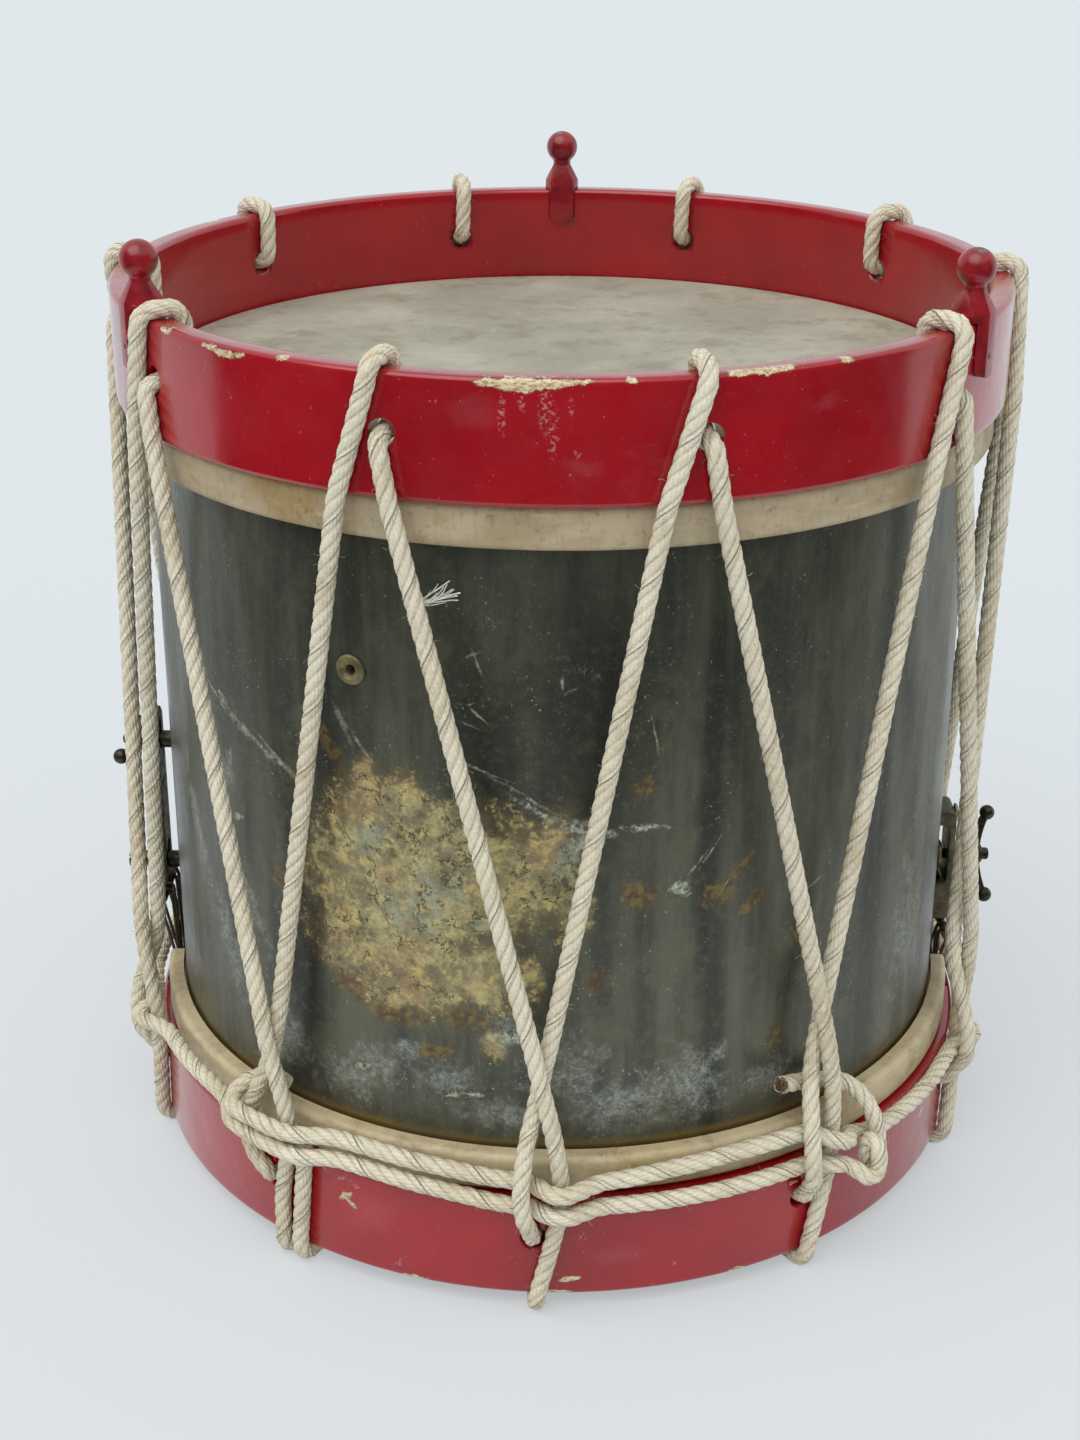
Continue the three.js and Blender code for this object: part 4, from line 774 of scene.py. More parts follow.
outer_side = off_axis.band(hoop_radius - 0.006, hoop_radius - 0.003)
ragged = red_paint.unrolled(hoop_radius, 0.004, 0.0055)
chips = red_paint.marks(ragged, hoop_radius, paint_chips, 0.12) * outer_side
chip_rim = red_paint.marks(ragged, hoop_radius, paint_chips, 0.45) * outer_side
dribbled = red_paint.marks(red_paint.unrolled(hoop_radius, 0.006, 0.004), hoop_radius, paint_drips, 0.6)
dribbled = dribbled * red_paint.grain(0.0016, 3, 0.6).band(0.5, 0.6)
hazed = red_paint.marks(red_paint.unrolled(hoop_radius, 0.01, 0.02), hoop_radius, paint_hazes, 0.9)
red_tone = red_paint.grain(0.06, 5, 0.6).band(0.35, 0.7).blend((163, 3, 21), (145, 3, 18))
red_tone = (red_paint.grain(0.004, 6, 0.75).band(0.52, 0.75) * 0.3).blend(red_tone, (168, 16, 32))
smear = red_paint.grain(0.03, 6, 0.7, warp=0.8).band(0.56, 0.72)
smear = smear * red_paint.grain(0.008, 6, 0.75).band(0.4, 0.65)
smear = (smear * 0.12).most(hazed * outer_side * 0.12)
red_tone = smear.blend(red_tone, (186, 110, 116))
red_tone = (dribbled * outer_side * 0.36).blend(red_tone, (208, 180, 178))
red_tone = (red_paint.grain(0.0017, 3, 0.6).band(0.7, 0.74) * 0.6).blend(red_tone, (196, 140, 140))
red_tone = (chip_rim * 0.6).blend(red_tone, (120, 30, 30))
edge_wear = (red_paint.field("arris") * 0.3 + red_paint.grain(0.009, 9, 0.85)).band(0.92, 0.95)
bare = chips.most(edge_wear)
bare_wood = red_paint.grain(0.0026, 6, 0.8, (1, 1, 2.5)).band(0.42, 0.6)
bare_wood = bare_wood.blend((224, 205, 168), (164, 126, 84))
red_paint.give("Base Color", bare.blend(red_tone, bare_wood))
red_paint.give("Roughness", bare * 0.45 + red_paint.grain(0.02, 6, 0.65).band(0.3, 0.75, 0.24, 0.42))
red_relief = red_paint.grain(0.03, 3, 0.5).relief(0.0012, red_paint.grain(0.0025, 3, 0.6).relief(0.00006))
red_paint.give("Normal", bare.relief(-0.0004, red_relief))

for piece_name, node_name, foot, hole_height in (
        ("batter_red_hoop", "batter_counter_hoop", hoop_rim - hoop_height, top_hole),
        ("snare_red_hoop", "snare_counter_hoop", hoop_foot, low_hole)):
    hoop = stand_up(piece_name, turned(piece_name, [(r, h + foot) for r, h in hoop_outline], 480), red_paint)
    tools = []
    for unit in range(lace_units):
        azimuth = low_hole_azimuth
        if foot > 0.1:
            azimuth = top_hole_azimuth
        elif unit == hitch_unit:
            azimuth = hitch_hole_azimuth
        tools.append(placed(rope_hole_tool.copy(), facing(azimuth + lace_pitch * unit),
                            shift(0, 0, hole_height)))
    cut(hoop, joined("rope holes", tools))
    if foot < 0.1:
        gate_middle, gate_depth, gate_half = 0.1907, 0.0071, 0.016
        for middle in (-gate_middle, gate_middle):
            cut(hoop, solid_box((middle - gate_depth, -gate_half, foot + 0.040),
                                (middle + gate_depth, gate_half, foot + 0.060)))
    arris = [max(0.0, 1 - min(abs(v.co.z - foot), abs(v.co.z - foot - hoop_height)) / 0.003)
             * (1 if math.hypot(v.co.x, v.co.y) > hoop_radius - 0.003 else 0.8) for v in hoop.data.vertices]
    paint(hoop.data, "arris", arris)
    smooth(hoop.data)
    hand_over(hoop, "drum", node_name)


# Flesh hoops. Flat hoops of split wood with the wet calfskin lapped tightly round them; the skin has dried
# to a tan, brown-stained wrap that shows between each counter hoop and the shell. Its fine creases are
# drawn only as painted shade.
shell_radius = 0.187
head_thickness = 0.0008
head_lap = 0.005
collar_inside = shell_radius + seat_gap
collar_outside = collar_inside + head_thickness
flesh_inside = collar_outside + seat_gap
flesh_outside = flesh_inside + 0.0073
flesh_height = 0.018
flesh_round = 0.003
upper_flesh_foot = hoop_rim - hoop_height - seat_gap - flesh_height
lower_flesh_foot = hoop_foot + hoop_height + seat_gap
flesh_top = flesh_height - flesh_round
flesh_outline = ([(flesh_inside, 0)] + arc(flesh_outside - flesh_round, flesh_round, flesh_round, -90, 0, 6)
                 + rows_between((flesh_outside, flesh_round), (flesh_outside, flesh_top), 0.002)
                 + arc(flesh_outside - flesh_round, flesh_top, flesh_round, 0, 90, 6)
                 + [(flesh_inside, flesh_height)])

lapped_skin = Finish("lapped skin", Specular_IOR_Level=0.4)
lap_tone = lapped_skin.grain(0.05, 7, 0.65, (1, 1, 3)).band(0.38, 0.66)
lap_tone = lap_tone.blend((184, 165, 134), (164, 143, 110))
lap_tone = lapped_skin.grain(0.07, 5, 0.65).band(0.5, 0.68).blend(lap_tone, (158, 128, 76))
lap_tone = (lapped_skin.grain(0.006, 6, 0.75).band(0.54, 0.7) * 0.6).blend(lap_tone, (98, 80, 54))
lap_tone = (lapped_skin.grain(0.03, 7, 0.75, (1, 1, 6)).band(0.56, 0.7)
            * 0.6).blend(lap_tone, (200, 187, 156))

# Painted shade of fine creases across the wrap: thin dark lines from noise read along the hoop only
crease_place = lapped_skin.node("VectorMath", {0: lapped_skin.unrolled(0.195, 0.01, 0.006), 1: (1, 0.12, 0)},
                                operation="MULTIPLY")
crease_shade = lapped_skin.node("TexNoise", {"Vector": crease_place, "Scale": 520, "Detail": 4, "Roughness": 0.6})
lap_tone = (crease_shade.band(0.5, 0.66) * 0.15).blend(lap_tone, (98, 80, 50))
# Painted light: the lower wrap is painted paler in patches, as if it were better lit
low = lapped_skin.node("SeparateXYZ", {"Vector": lapped_skin.place}, 2)
lower_wrap_painted_light = low.band(0.1, 0.2, 0.55, 0.0) * lapped_skin.grain(0.02, 6, 0.7, (1, 1, 2)).band(0.34, 0.56)
lap_tone = lower_wrap_painted_light.blend(lap_tone, (214, 198, 158))
lapped_skin.give("Base Color", lap_tone)
lapped_skin.give("Roughness", lapped_skin.grain(0.015, 5).band(0.3, 0.7, 0.38, 0.62))
lap_relief = lapped_skin.grain(0.002, 4).relief(0.00012)
lapped_skin.give("Normal", lapped_skin.grain(0.008, 5, 0.6, (1, 1, 0.3)).relief(0.0003, lap_relief))

for piece_name, node_name, foot in (("batter_lapped_hoop", "batter_flesh_hoop", upper_flesh_foot),
                                    ("snare_lapped_hoop", "snare_flesh_hoop", lower_flesh_foot)):
    hoop = stand_up(piece_name, turned(piece_name, [(r, h + foot) for r, h in flesh_outline], 360),
                    lapped_skin)
    if foot < 0.1:
        for side in (-1, 1):
            for low, outer in ((-0.005, flesh_inside + 0.0045), (0.006, 0.205)):
                near, far = sorted((side * 0.180, side * outer))
                cut(hoop, solid_box((near, -0.016, foot + low), (far, 0.016, foot + 0.030)))
        smooth(hoop.data)
    hand_over(hoop, "drum", node_name)


# Heads. Two discs of calfskin, stretched over the shell's edges and drawn down between the shell and the
# flesh hoops; both are grey with dirt, in paler and darker clouds.
def head_outline(face, inward):
    end = face + inward * (head_lap + seat_gap + flesh_height - 0.004)
    flat = [(shell_radius * i / 36, face) for i in range(36)]
    edge = arc(collar_outside - 0.0022, face + inward * 0.0022, 0.0022, 90 * -inward, 0, 4)
    return (flat + edge + [(collar_outside, end), (collar_inside, end),
                           (collar_inside, face + inward * 0.0009)]
            + [(shell_radius * i / 6, face + inward * head_thickness) for i in range(5, -1, -1)])


calfskin = Finish("calfskin head", Specular_IOR_Level=0.3)
skin_tone = calfskin.grain(0.11, 5, 0.6).band(0.38, 0.66).blend((182, 176, 157), (156, 150, 132))
skin_tone = (calfskin.grain(0.02, 7, 0.72).band(0.48, 0.68) * 0.55).blend(skin_tone, (130, 122, 100))
skin_tone = (calfskin.grain(0.006, 6, 0.75).band(0.55, 0.75) * 0.5).blend(skin_tone, (204, 199, 184))
calfskin.give("Base Color", skin_tone)
calfskin.give("Roughness", calfskin.grain(0.03, 4).band(0.3, 0.7, 0.55, 0.75))
pores = calfskin.grain(0.0015, 4).relief(0.00008)
calfskin.give("Normal", calfskin.grain(0.012, 5, 0.6).relief(0.0004, pores))

upper_face = hoop_rim - hoop_height + head_lap
lower_face = hoop_foot + hoop_height - head_lap
for piece_name, node_name, face, inward in (("batter_skin", "batter_head", upper_face, -1),
                                            ("snare_skin", "snare_head", lower_face, 1)):
    head = stand_up(piece_name, turned(piece_name, head_outline(face, inward), 240), calfskin)
    hand_over(head, "drum", node_name)


# Shell. One sheet of brass rolled into a tube, its edges hemmed over wire; it has tarnished nearly black,
# with a patch rubbed or cleaned to gold at the front left and pale corrosion along its foot. Tall dark
# bands down it and a darker upper front are painted reflections of a dark room.
shell_wall = 0.0012
shell_hem = 0.003
shell_top = upper_face - head_thickness - seat_gap
shell_foot = lower_face + head_thickness + seat_gap
shell_outline = ([(shell_radius - shell_wall, shell_foot), (shell_radius, shell_foot + shell_wall)]
                 + rows_between((shell_radius, shell_foot + shell_wall),
                                (shell_radius, shell_top - shell_wall), 0.0019)
                 + [(shell_radius, shell_top - shell_wall), (shell_radius - shell_wall, shell_top),
                    (shell_radius - shell_hem, shell_top), (shell_radius - shell_hem, shell_top - shell_hem),
                    (shell_radius - shell_wall, shell_top - shell_hem),
                    (shell_radius - shell_wall, shell_foot + shell_hem),
                    (shell_radius - shell_hem, shell_foot + shell_hem),
                    (shell_radius - shell_hem, shell_foot)])

gold_marks = [(-17, 190, 32, 32, 0), (-27, 186, 22, 30, 0), (-8, 196, 26, 26, 0), (-20, 162, 38, 22, 0),
              (-26, 214, 15, 18, 0), (-20, 226, 13, 15, 0), (-15.5, 217, 12, 13, 0), (-10, 152, 22, 14, 0),
              (0, 212, 9, 15, 0), (2, 184, 7, 15, 0), (-25, 236, 6, 9, 0), (-8, 118, 6, 6, 0),
              (-29, 150, 12, 12, 0), (-19, 140, 26, 10, 0)]
brass_marks = [(-22, 127, 16, 6, 0), (-12, 130, 12, 6, 0), (-28, 136, 9, 6, 0), (-16, 112, 8, 5, 0),
               (11.2, 239, 6, 5, 0), (12.3, 255, 5, 1.6, 20), (10.3, 191, 7, 8, 0), (21, 187, 9, 6, 20),
               (26, 180, 9, 3, 40), (24, 196, 2.5, 12, -40), (30.6, 110, 5, 8, 0), (43, 293, 7, 1.2, 30),
               (-39, 176, 7, 7, 0), (-36, 228, 8, 5, 0), (5, 150, 4, 8, 0), (34, 160, 5, 8, 0),
               (-30, 246, 4, 14, 30)]
veil_marks = [(9, 90, 26, 12, 0), (1, 106, 18, 16, 0), (18, 96, 18, 16, -30), (21, 106, 12, 4, 40),
              (-6.2, 124, 9, 10, 0), (-20.7, 109, 9, 5, 30), (-28.6, 90, 18, 12, 20), (-40, 96, 13, 13, 10),
              (-47, 160, 5, 26, 30), (-52, 126, 8, 26, 20), (-61, 176, 6, 36, 20), (-51, 214, 7, 14, -30),
              (30, 90, 14, 8, 0), (-5, 84, 22, 8, 0), (-24, 100, 14, 9, 0), (-14, 98, 12, 9, 0),
              (60, 130, 20, 40, 0), (75, 220, 18, 60, 0), (140, 160, 40, 60, 20), (-140, 130, 50, 50, 0),
              (180, 230, 30, 60, 0), (100, 90, 50, 20, 0)]
grey_marks = [(-17, 183, 10, 16, 0), (-21, 176, 8, 9, 0), (-9, 172, 8, 8, 0), (-13, 190, 7, 8, 0),
              (-25, 208, 11, 8, 0), (1, 205, 6, 8, 0)]
crust_marks = [(3.6, 217, 6, 4, -20), (0.6, 224, 5, 2.4, -30), (-3.6, 232, 7, 1.6, -30),
               (-50, 249, 6, 2.2, -32), (-45.5, 241, 6, 2.4, -34), (-41, 234, 5, 2.0, -30),
               (-57, 150, 3, 2, 0), (-48, 196, 4, 2, 20), (-5.5, 124, 4, 4, 0), (10.7, 221, 10, 1.8, 0),
               (2.5, 212, 8, 5, 0), (3, 222, 14, 3.0, -15), (-1, 226, 8, 2, -30), (16, 192, 5, 4, 20),
               (-12, 92, 10, 2, 10), (-27, 96, 6, 2.4, 20), (-6, 122, 5, 6, 0)]
line_marks = [(-52, 250, 12, 0.8, -32), (-47.5, 243, 9, 1.5, -34), (-43, 237, 12, 0.9, -30),
              (-38, 231, 8, 1.6, -28), (-40, 236, 10, 0.5, -30), (-9.9, 293, 0.5, 5, 20),
              (-10.4, 296, 3, 0.5, 30), (-9.9, 271, 5, 0.5, -40), (-11.4, 275, 3, 0.5, 10),
              (-11, 266, 4, 0.5, -20), (-28, 258, 1.2, 8, 25), (-9, 246, 9, 0.5, -20),
              (-4, 236, 16, 0.6, -30), (20, 208, 0.5, 10, -35), (17.5, 200, 0.5, 8, -38),
              (22, 190, 0.4, 7, -35), (-26, 252, 9, 0.8, -50), (0.5, 286, 0.5, 4, 0), (1.4, 282, 3, 0.5, 30),
              (12, 262, 0.4, 9, 10), (30, 230, 0.4, 12, 20), (-16, 300, 5, 0.4, 10), (36, 180, 6, 0.5, 20),
              (150, 250, 14, 0.6, 30), (-150, 200, 12, 0.7, -40), (100, 300, 0.5, 12, 15)]
# Painted shade: tall dark bands where dents would reflect a dark room, and a darker upper front
painted_shade_marks = [(19.5, 230, 5, 90, 0), (21, 120, 6, 70, 0), (-31, 262, 8, 60, 0), (-36, 150, 9, 80, 0),
               (4, 270, 22, 60, 0), (-9, 250, 16, 40, 0), (-70, 200, 10, 120, 0), (48, 200, 8, 120, 0),
               (110, 200, 10, 120, 0), (-120, 220, 14, 110, 0), (165, 200, 12, 120, 0)]
wisp_marks = [(-15, 108, 40, 22, 0), (-32, 110, 30, 24, 0), (9, 140, 40, 70, 0), (-12, 270, 30, 40, 0),
              (2, 260, 40, 40, 0), (12, 200, 30, 40, 0), (-45, 200, 30, 60, 0), (80, 180, 60, 90, 0),
              (-110, 200, 60, 90, 0), (170, 160, 70, 80, 0)]


def spots(made, name, marks, radius):
    """Paints a field on the mesh: 1 in the middle of a mark, 0.5 at its edge, 0 at twice its size. A mark is
    azimuth, height above the lower hoop's foot, half its width and half its height in mm, and its lean."""
    at = np.empty(len(made.vertices) * 3)
    made.vertices.foreach_get("co", at)
    x, y, z = at.reshape(-1, 3).T
    azimuth = np.degrees(np.arctan2(x, -y))
    outer_depth = 0.004
    outside = np.hypot(x, y) > radius - outer_depth
    field = np.zeros(len(x))
    for mark_azimuth, height, half_width, half_height, lean in marks:
        across = np.radians((azimuth - mark_azimuth + 180) % 360 - 180) * radius
        up = z - hoop_foot - height / 1000
        c, s = math.cos(math.radians(lean)), math.sin(math.radians(lean))
        along, over = (across * c + up * s) * 1000, (up * c - across * s) * 1000
        reach = np.hypot(along / half_width, over / half_height)
        field = np.maximum(field, np.clip(1 - reach / 2, 0, 1) * outside)
    paint(made, name, field)


brass = Finish("tarnished brass shell", Specular_IOR_Level=0.5)


def brass_edge(name, size, amount, low, high, warp=0.0):
    """A painted field with its edge broken up by noise of that size."""
    broken = brass.field(name) + (brass.grain(size, 9, 0.78, warp=warp) + (-0.5)) * amount
    return broken.band(low, high)


streaks = brass.grain(0.016, 7, 0.7, (1, 1, 0.1))
clouds = brass.grain(0.030, 8, 0.74, (1, 1, 0.7), 0.5)
fine = brass.grain(0.004, 8, 0.78)
tarnish_and_painted_shade = streaks.band(0.35, 0.7).blend((73, 74, 65), (103, 102, 87))
tarnish_and_painted_shade = (clouds.band(0.49, 0.62) * 0.7).blend(tarnish_and_painted_shade, (104, 101, 82))
# Painted shade: the tall dark bands and the darker upper front, laid over the tarnish
tarnish_and_painted_shade = (brass_edge("shade", 0.03, 0.5, 0.2, 0.8) * 0.75).blend(tarnish_and_painted_shade, (46, 47, 42))
tarnish_and_painted_shade = (fine.band(0.47, 0.72) * 0.5).blend(tarnish_and_painted_shade, (112, 108, 88))
tarnish_and_painted_shade = (brass.grain(0.012, 8, 0.8).band(0.6, 0.72) * 0.7).blend(tarnish_and_painted_shade, (72, 58, 44))

# Thin curled lines of dried dirt, where a warped noise crosses its middle value
curl = brass.node("Math", {0: brass.grain(0.0075, 3, 0.6, (1, 1, 0.7), 1.6) + (-0.5)}, operation="ABSOLUTE")
curl = curl.band(0.004, 0.018, 1.0, 0.0) * brass.grain(0.02, 6, 0.7).band(0.54, 0.68)
curl = curl * brass.field("wisp").band(0.0, 0.5, 0.25, 1.0)
tarnish_and_painted_shade = (curl * 0.45).blend(tarnish_and_painted_shade, (160, 160, 144))
specks = brass.grain(0.0016, 3, 0.6).band(0.645, 0.72)
tarnish_and_painted_shade = (specks * brass.grain(0.03, 5).band(0.45, 0.6)).blend(tarnish_and_painted_shade, (172, 172, 158))

gold_bed = brass_edge("gold", 0.018, 1.5, 0.22, 0.62)
gold_share = brass_edge("gold", 0.012, 2.2, 0.34, 0.66)
gold_tone = brass.grain(0.013, 7, 0.72).band(0.42, 0.6).blend((134, 124, 92), (192, 176, 122))
gold_tone = (brass.grain(0.032, 6, 0.7).band(0.5, 0.62) * 0.6).blend(gold_tone, (176, 140, 92))
gold_tone = (brass_edge("grey", 0.01, 2.2, 0.3, 0.9) * 0.8).blend(gold_tone, (160, 163, 138))
gold_tone = (brass.grain(0.006, 8, 0.8).band(0.5, 0.62) * 0.8).blend(gold_tone, (214, 190, 116))
gold_tone = brass.grain(0.0026, 5, 0.7).band(0.34, 0.58, 0.42, 0.0).blend(gold_tone, (120, 108, 78))
gold_tone = brass.grain(0.009, 9, 0.82).band(0.36, 0.47, 0.62, 0.0).blend(gold_tone, (100, 92, 68))
crack = brass.node("Math", {0: brass.grain(0.02, 6, 0.66) + (-0.5)}, operation="ABSOLUTE")
crack = crack.band(0.004, 0.02, 0.9, 0.0) * brass.grain(0.012, 5).band(0.44, 0.55)
gold_tone = crack.blend(gold_tone, (72, 62, 44))
bed_tone = brass.grain(0.006, 8, 0.8).band(0.42, 0.58).blend((132, 110, 80), (78, 70, 54))
skin_of_brass = (gold_bed * 0.6).blend(tarnish_and_painted_shade, bed_tone)
skin_of_brass = (gold_share * 0.93).blend(skin_of_brass, gold_tone)
bright_tone = brass.grain(0.004, 6).band(0.4, 0.6).blend((146, 120, 66), (94, 68, 44))
skin_of_brass = (brass_edge("brass", 0.005, 2.4, 0.42, 0.8, 0.4) * 0.65).blend(skin_of_brass, bright_tone)
veil = brass_edge("veil", 0.008, 2.4, 0.34, 0.9, 0.5)
veil = veil * brass.grain(0.0028, 8, 0.85, warp=0.6).band(0.42, 0.62, 0.15, 1.0)
skin_of_brass = (veil * 0.66).blend(skin_of_brass, (172, 175, 166))
crust = brass_edge("crust", 0.0045, 2.2, 0.42, 0.72, 0.4) * brass.grain(0.0028, 6, 0.8).band(0.36, 0.52)
scratch = brass.marks(brass.unrolled(shell_radius, 0.008, 0.004), shell_radius, line_marks, 0.6)
crust = crust.most(scratch * brass.grain(0.004, 6, 0.8).band(0.36, 0.58) * 0.75)
crust_tone = brass.grain(0.003, 6).band(0.4, 0.6).blend((196, 195, 168), (142, 148, 132))
skin_of_brass = (crust * 0.85).blend(skin_of_brass, crust_tone)
height = brass.node("SeparateXYZ", {"Vector": brass.place}, 2)
foot_line = height.band(hoop_foot + 0.0695, hoop_foot + 0.0735, 1.0, 0.0)
foot_line = foot_line * brass.grain(0.03, 6, 0.7).band(0.3, 0.6, 0.4, 1.0)
skin_of_brass = (foot_line * 0.8).blend(skin_of_brass, (132, 108, 50))
dull = crust.most(veil * 0.7).most(gold_share * 0.75)
brass.give("Base Color", skin_of_brass)
brass.give("Metallic", dull.band(0.0, 1.0, 0.55, 0.1))
brass.give("Roughness", dull * 0.24 + brass.grain(0.03, 7, 0.7, (1, 1, 0.3)).band(0.3, 0.7, 0.24, 0.4))
dents = brass.grain(0.05, 3, 0.5, (1, 1, 0.35)).relief(0.0022, fine.relief(0.00012))
brass.give("Normal", crust.relief(0.0003, dents))

shell = stand_up("brass_shell", turned("brass_shell", shell_outline, 480), brass, 30)
vent_azimuth, vent_height = -26.5, 0.283 + hoop_foot
vent_tool = placed(turned("vent hole", [(0, -0.01), (0.0043, -0.01), (0.0043, 0.01), (0, 0.01)], 32),
                   turn(90, "Y"), shift(shell_radius, 0, 0), facing(vent_azimuth), shift(0, 0, vent_height))
cut(shell, vent_tool)
for field_name, marks in (("gold", gold_marks), ("brass", brass_marks), ("veil", veil_marks),
                          ("crust", crust_marks), ("shade", painted_shade_marks), ("wisp", wisp_marks),
                          ("grey", grey_marks)):
    spots(shell.data, field_name, marks, shell_radius)
hand_over(shell, "drum", "shell")


# Vent. A small brass eyelet, its barrel put through a hole high on the shell and its rim spun over outside.
eyelet_finish = Finish("worn brass", Metallic=0.55)
eyelet_tone = eyelet_finish.grain(0.006, 6, 0.7).band(0.4, 0.65).blend((154, 144, 102), (110, 102, 68))
eyelet_finish.give("Base Color", eyelet_tone)
eyelet_finish.give("Roughness", eyelet_finish.grain(0.002, 5).band(0.3, 0.7, 0.42, 0.6))
eyelet_finish.give("Normal", eyelet_finish.grain(0.0012, 4).relief(0.0001))
vent_seat = shell_radius + seat_gap
vent_outline = ([(0.00225, vent_seat - 0.005), (0.004, vent_seat - 0.005), (0.004, vent_seat),
                 (0.0065, vent_seat), (0.0065, vent_seat + 0.0005)]
                + arc(0.0049, vent_seat, 0.0015, 25, 150, 8) + [(0.00225, vent_seat + 0.0002)])
vent = stand_up("vent_grommet", placed(turned("vent_grommet", vent_outline, 48), turn(90, "Y"),
                                       facing(vent_azimuth), shift(0, 0, vent_height)), eyelet_finish)
hand_over(vent, "drum", "vent_eyelet")


# Rim pegs. Three turned and octagonally cut pegs of painted wood stand on the top hoop like clothes pegs,
# each pinned through its longer outer leg by a small nail; the paint is worn grey-brown on the knobs.
peg_width = 0.017
peg_outer_face = hoop_radius + seat_gap + 0.0036
peg_middle = peg_outer_face - peg_width / 2
peg_outer_leg = 0.023
peg_inner_leg = 0.0175
peg_foot = hoop_rim - peg_outer_leg
peg_shoulder = hoop_rim + 0.004
peg_neck_base = peg_shoulder + 0.0085
peg_neck = 0.0045
peg_ball = 0.008
peg_ball_centre = peg_neck_base + 0.002 + math.sqrt(peg_ball ** 2 - peg_neck ** 2)

peg_paint = Finish("worn peg paint", Specular_IOR_Level=0.5, Coat_Weight=0.3, Coat_Roughness=0.15)
peg_red = peg_paint.grain(0.008, 5).band(0.35, 0.7).blend((152, 10, 24), (112, 8, 18))
peg_bare = (peg_paint.field("rubbed") * 0.7 + peg_paint.grain(0.009, 7, 0.75) * 1.2).band(1.2, 1.3)
peg_wood = peg_paint.grain(0.003, 5).blend((150, 128, 108), (88, 72, 60))
peg_paint.give("Base Color", peg_bare.blend(peg_red, peg_wood))
peg_paint.give("Roughness", peg_bare.band(0, 1, 0.3, 0.62))
peg_paint.give("Normal", peg_bare.relief(-0.00025, peg_paint.grain(0.005, 4).relief(0.0003)))


def plate(outline, holes, thickness, round_edge=0.0):
    """A flat plate in the plane of Y and Z, from X 0 outwards, with holes and softened edges."""
    curve = bpy.data.curves.new("plate", "CURVE")
    curve.dimensions, curve.fill_mode = "2D", "BOTH"
    for path in [outline] + list(holes):
        line = curve.splines.new("POLY")
        line.points.add(len(path) - 1)
        for point, (y, z) in zip(line.points, path):
            point.co = (y, z, 0, 1)
        line.use_cyclic_u = True
    curve.extrude = thickness / 2 - round_edge
    curve.bevel_depth, curve.bevel_resolution = round_edge, 2
    curve.offset = -round_edge
    holder = stand("plate", curve)
    made = as_made(holder)
    bpy.data.objects.remove(holder)
    shape = bmesh.new()
    shape.from_mesh(made)
    bmesh.ops.remove_doubles(shape, verts=shape.verts, dist=1e-6)
    bmesh.ops.recalc_face_normals(shape, faces=shape.faces)
    upright = Matrix(((0, 0, 1, thickness / 2), (1, 0, 0, 0), (0, 1, 0, 0), (0, 0, 0, 1)))
    return placed(drawn("plate", shape), upright)


def soften(piece, width):
    """Rounds the piece's sharp edges and makes the result plain mesh."""
    modifier = piece.modifiers.new("softened edges", "BEVEL")
    modifier.width, modifier.segments, modifier.angle_limit = width, 2, math.radians(35)
    modifier.harden_normals = False
    piece.data = as_made(piece)
    piece.modifiers.clear()
    smooth(piece.data)


def leg_rounding(reach, from_radius, to_radius):
    """What is cut away to leave a leg of that reach below the rim with a half-round end."""
    half, over = peg_width / 2, 0.001
    middle = hoop_rim - reach + half
    outline = ([(-half - over, middle - half - over), (half + over, middle - half - over)]
               + [(half + over, middle)] + arc(0, middle, half, 0, -180, 20) + [(-half - over, middle)])
    return placed(plate(outline, [], to_radius - from_radius), shift(from_radius, 0, 0))


nail_level = hoop_rim - 0.014


def rubbing(point):
    """How far the paint is rubbed off there: most on the knob's crown and on the nail's head."""
    if point.z > peg_neck_base + 0.002:
        return max(0.0, min(1.0, (point.z - peg_ball_centre) / peg_ball * 0.6 + 0.25))
    nail_head = 0.0013
    on_nail = abs(point.z - nail_level) < nail_head and abs(point.y) < nail_head
    return 0.9 if on_nail and point.x > peg_outer_face - 0.00005 else 0.12


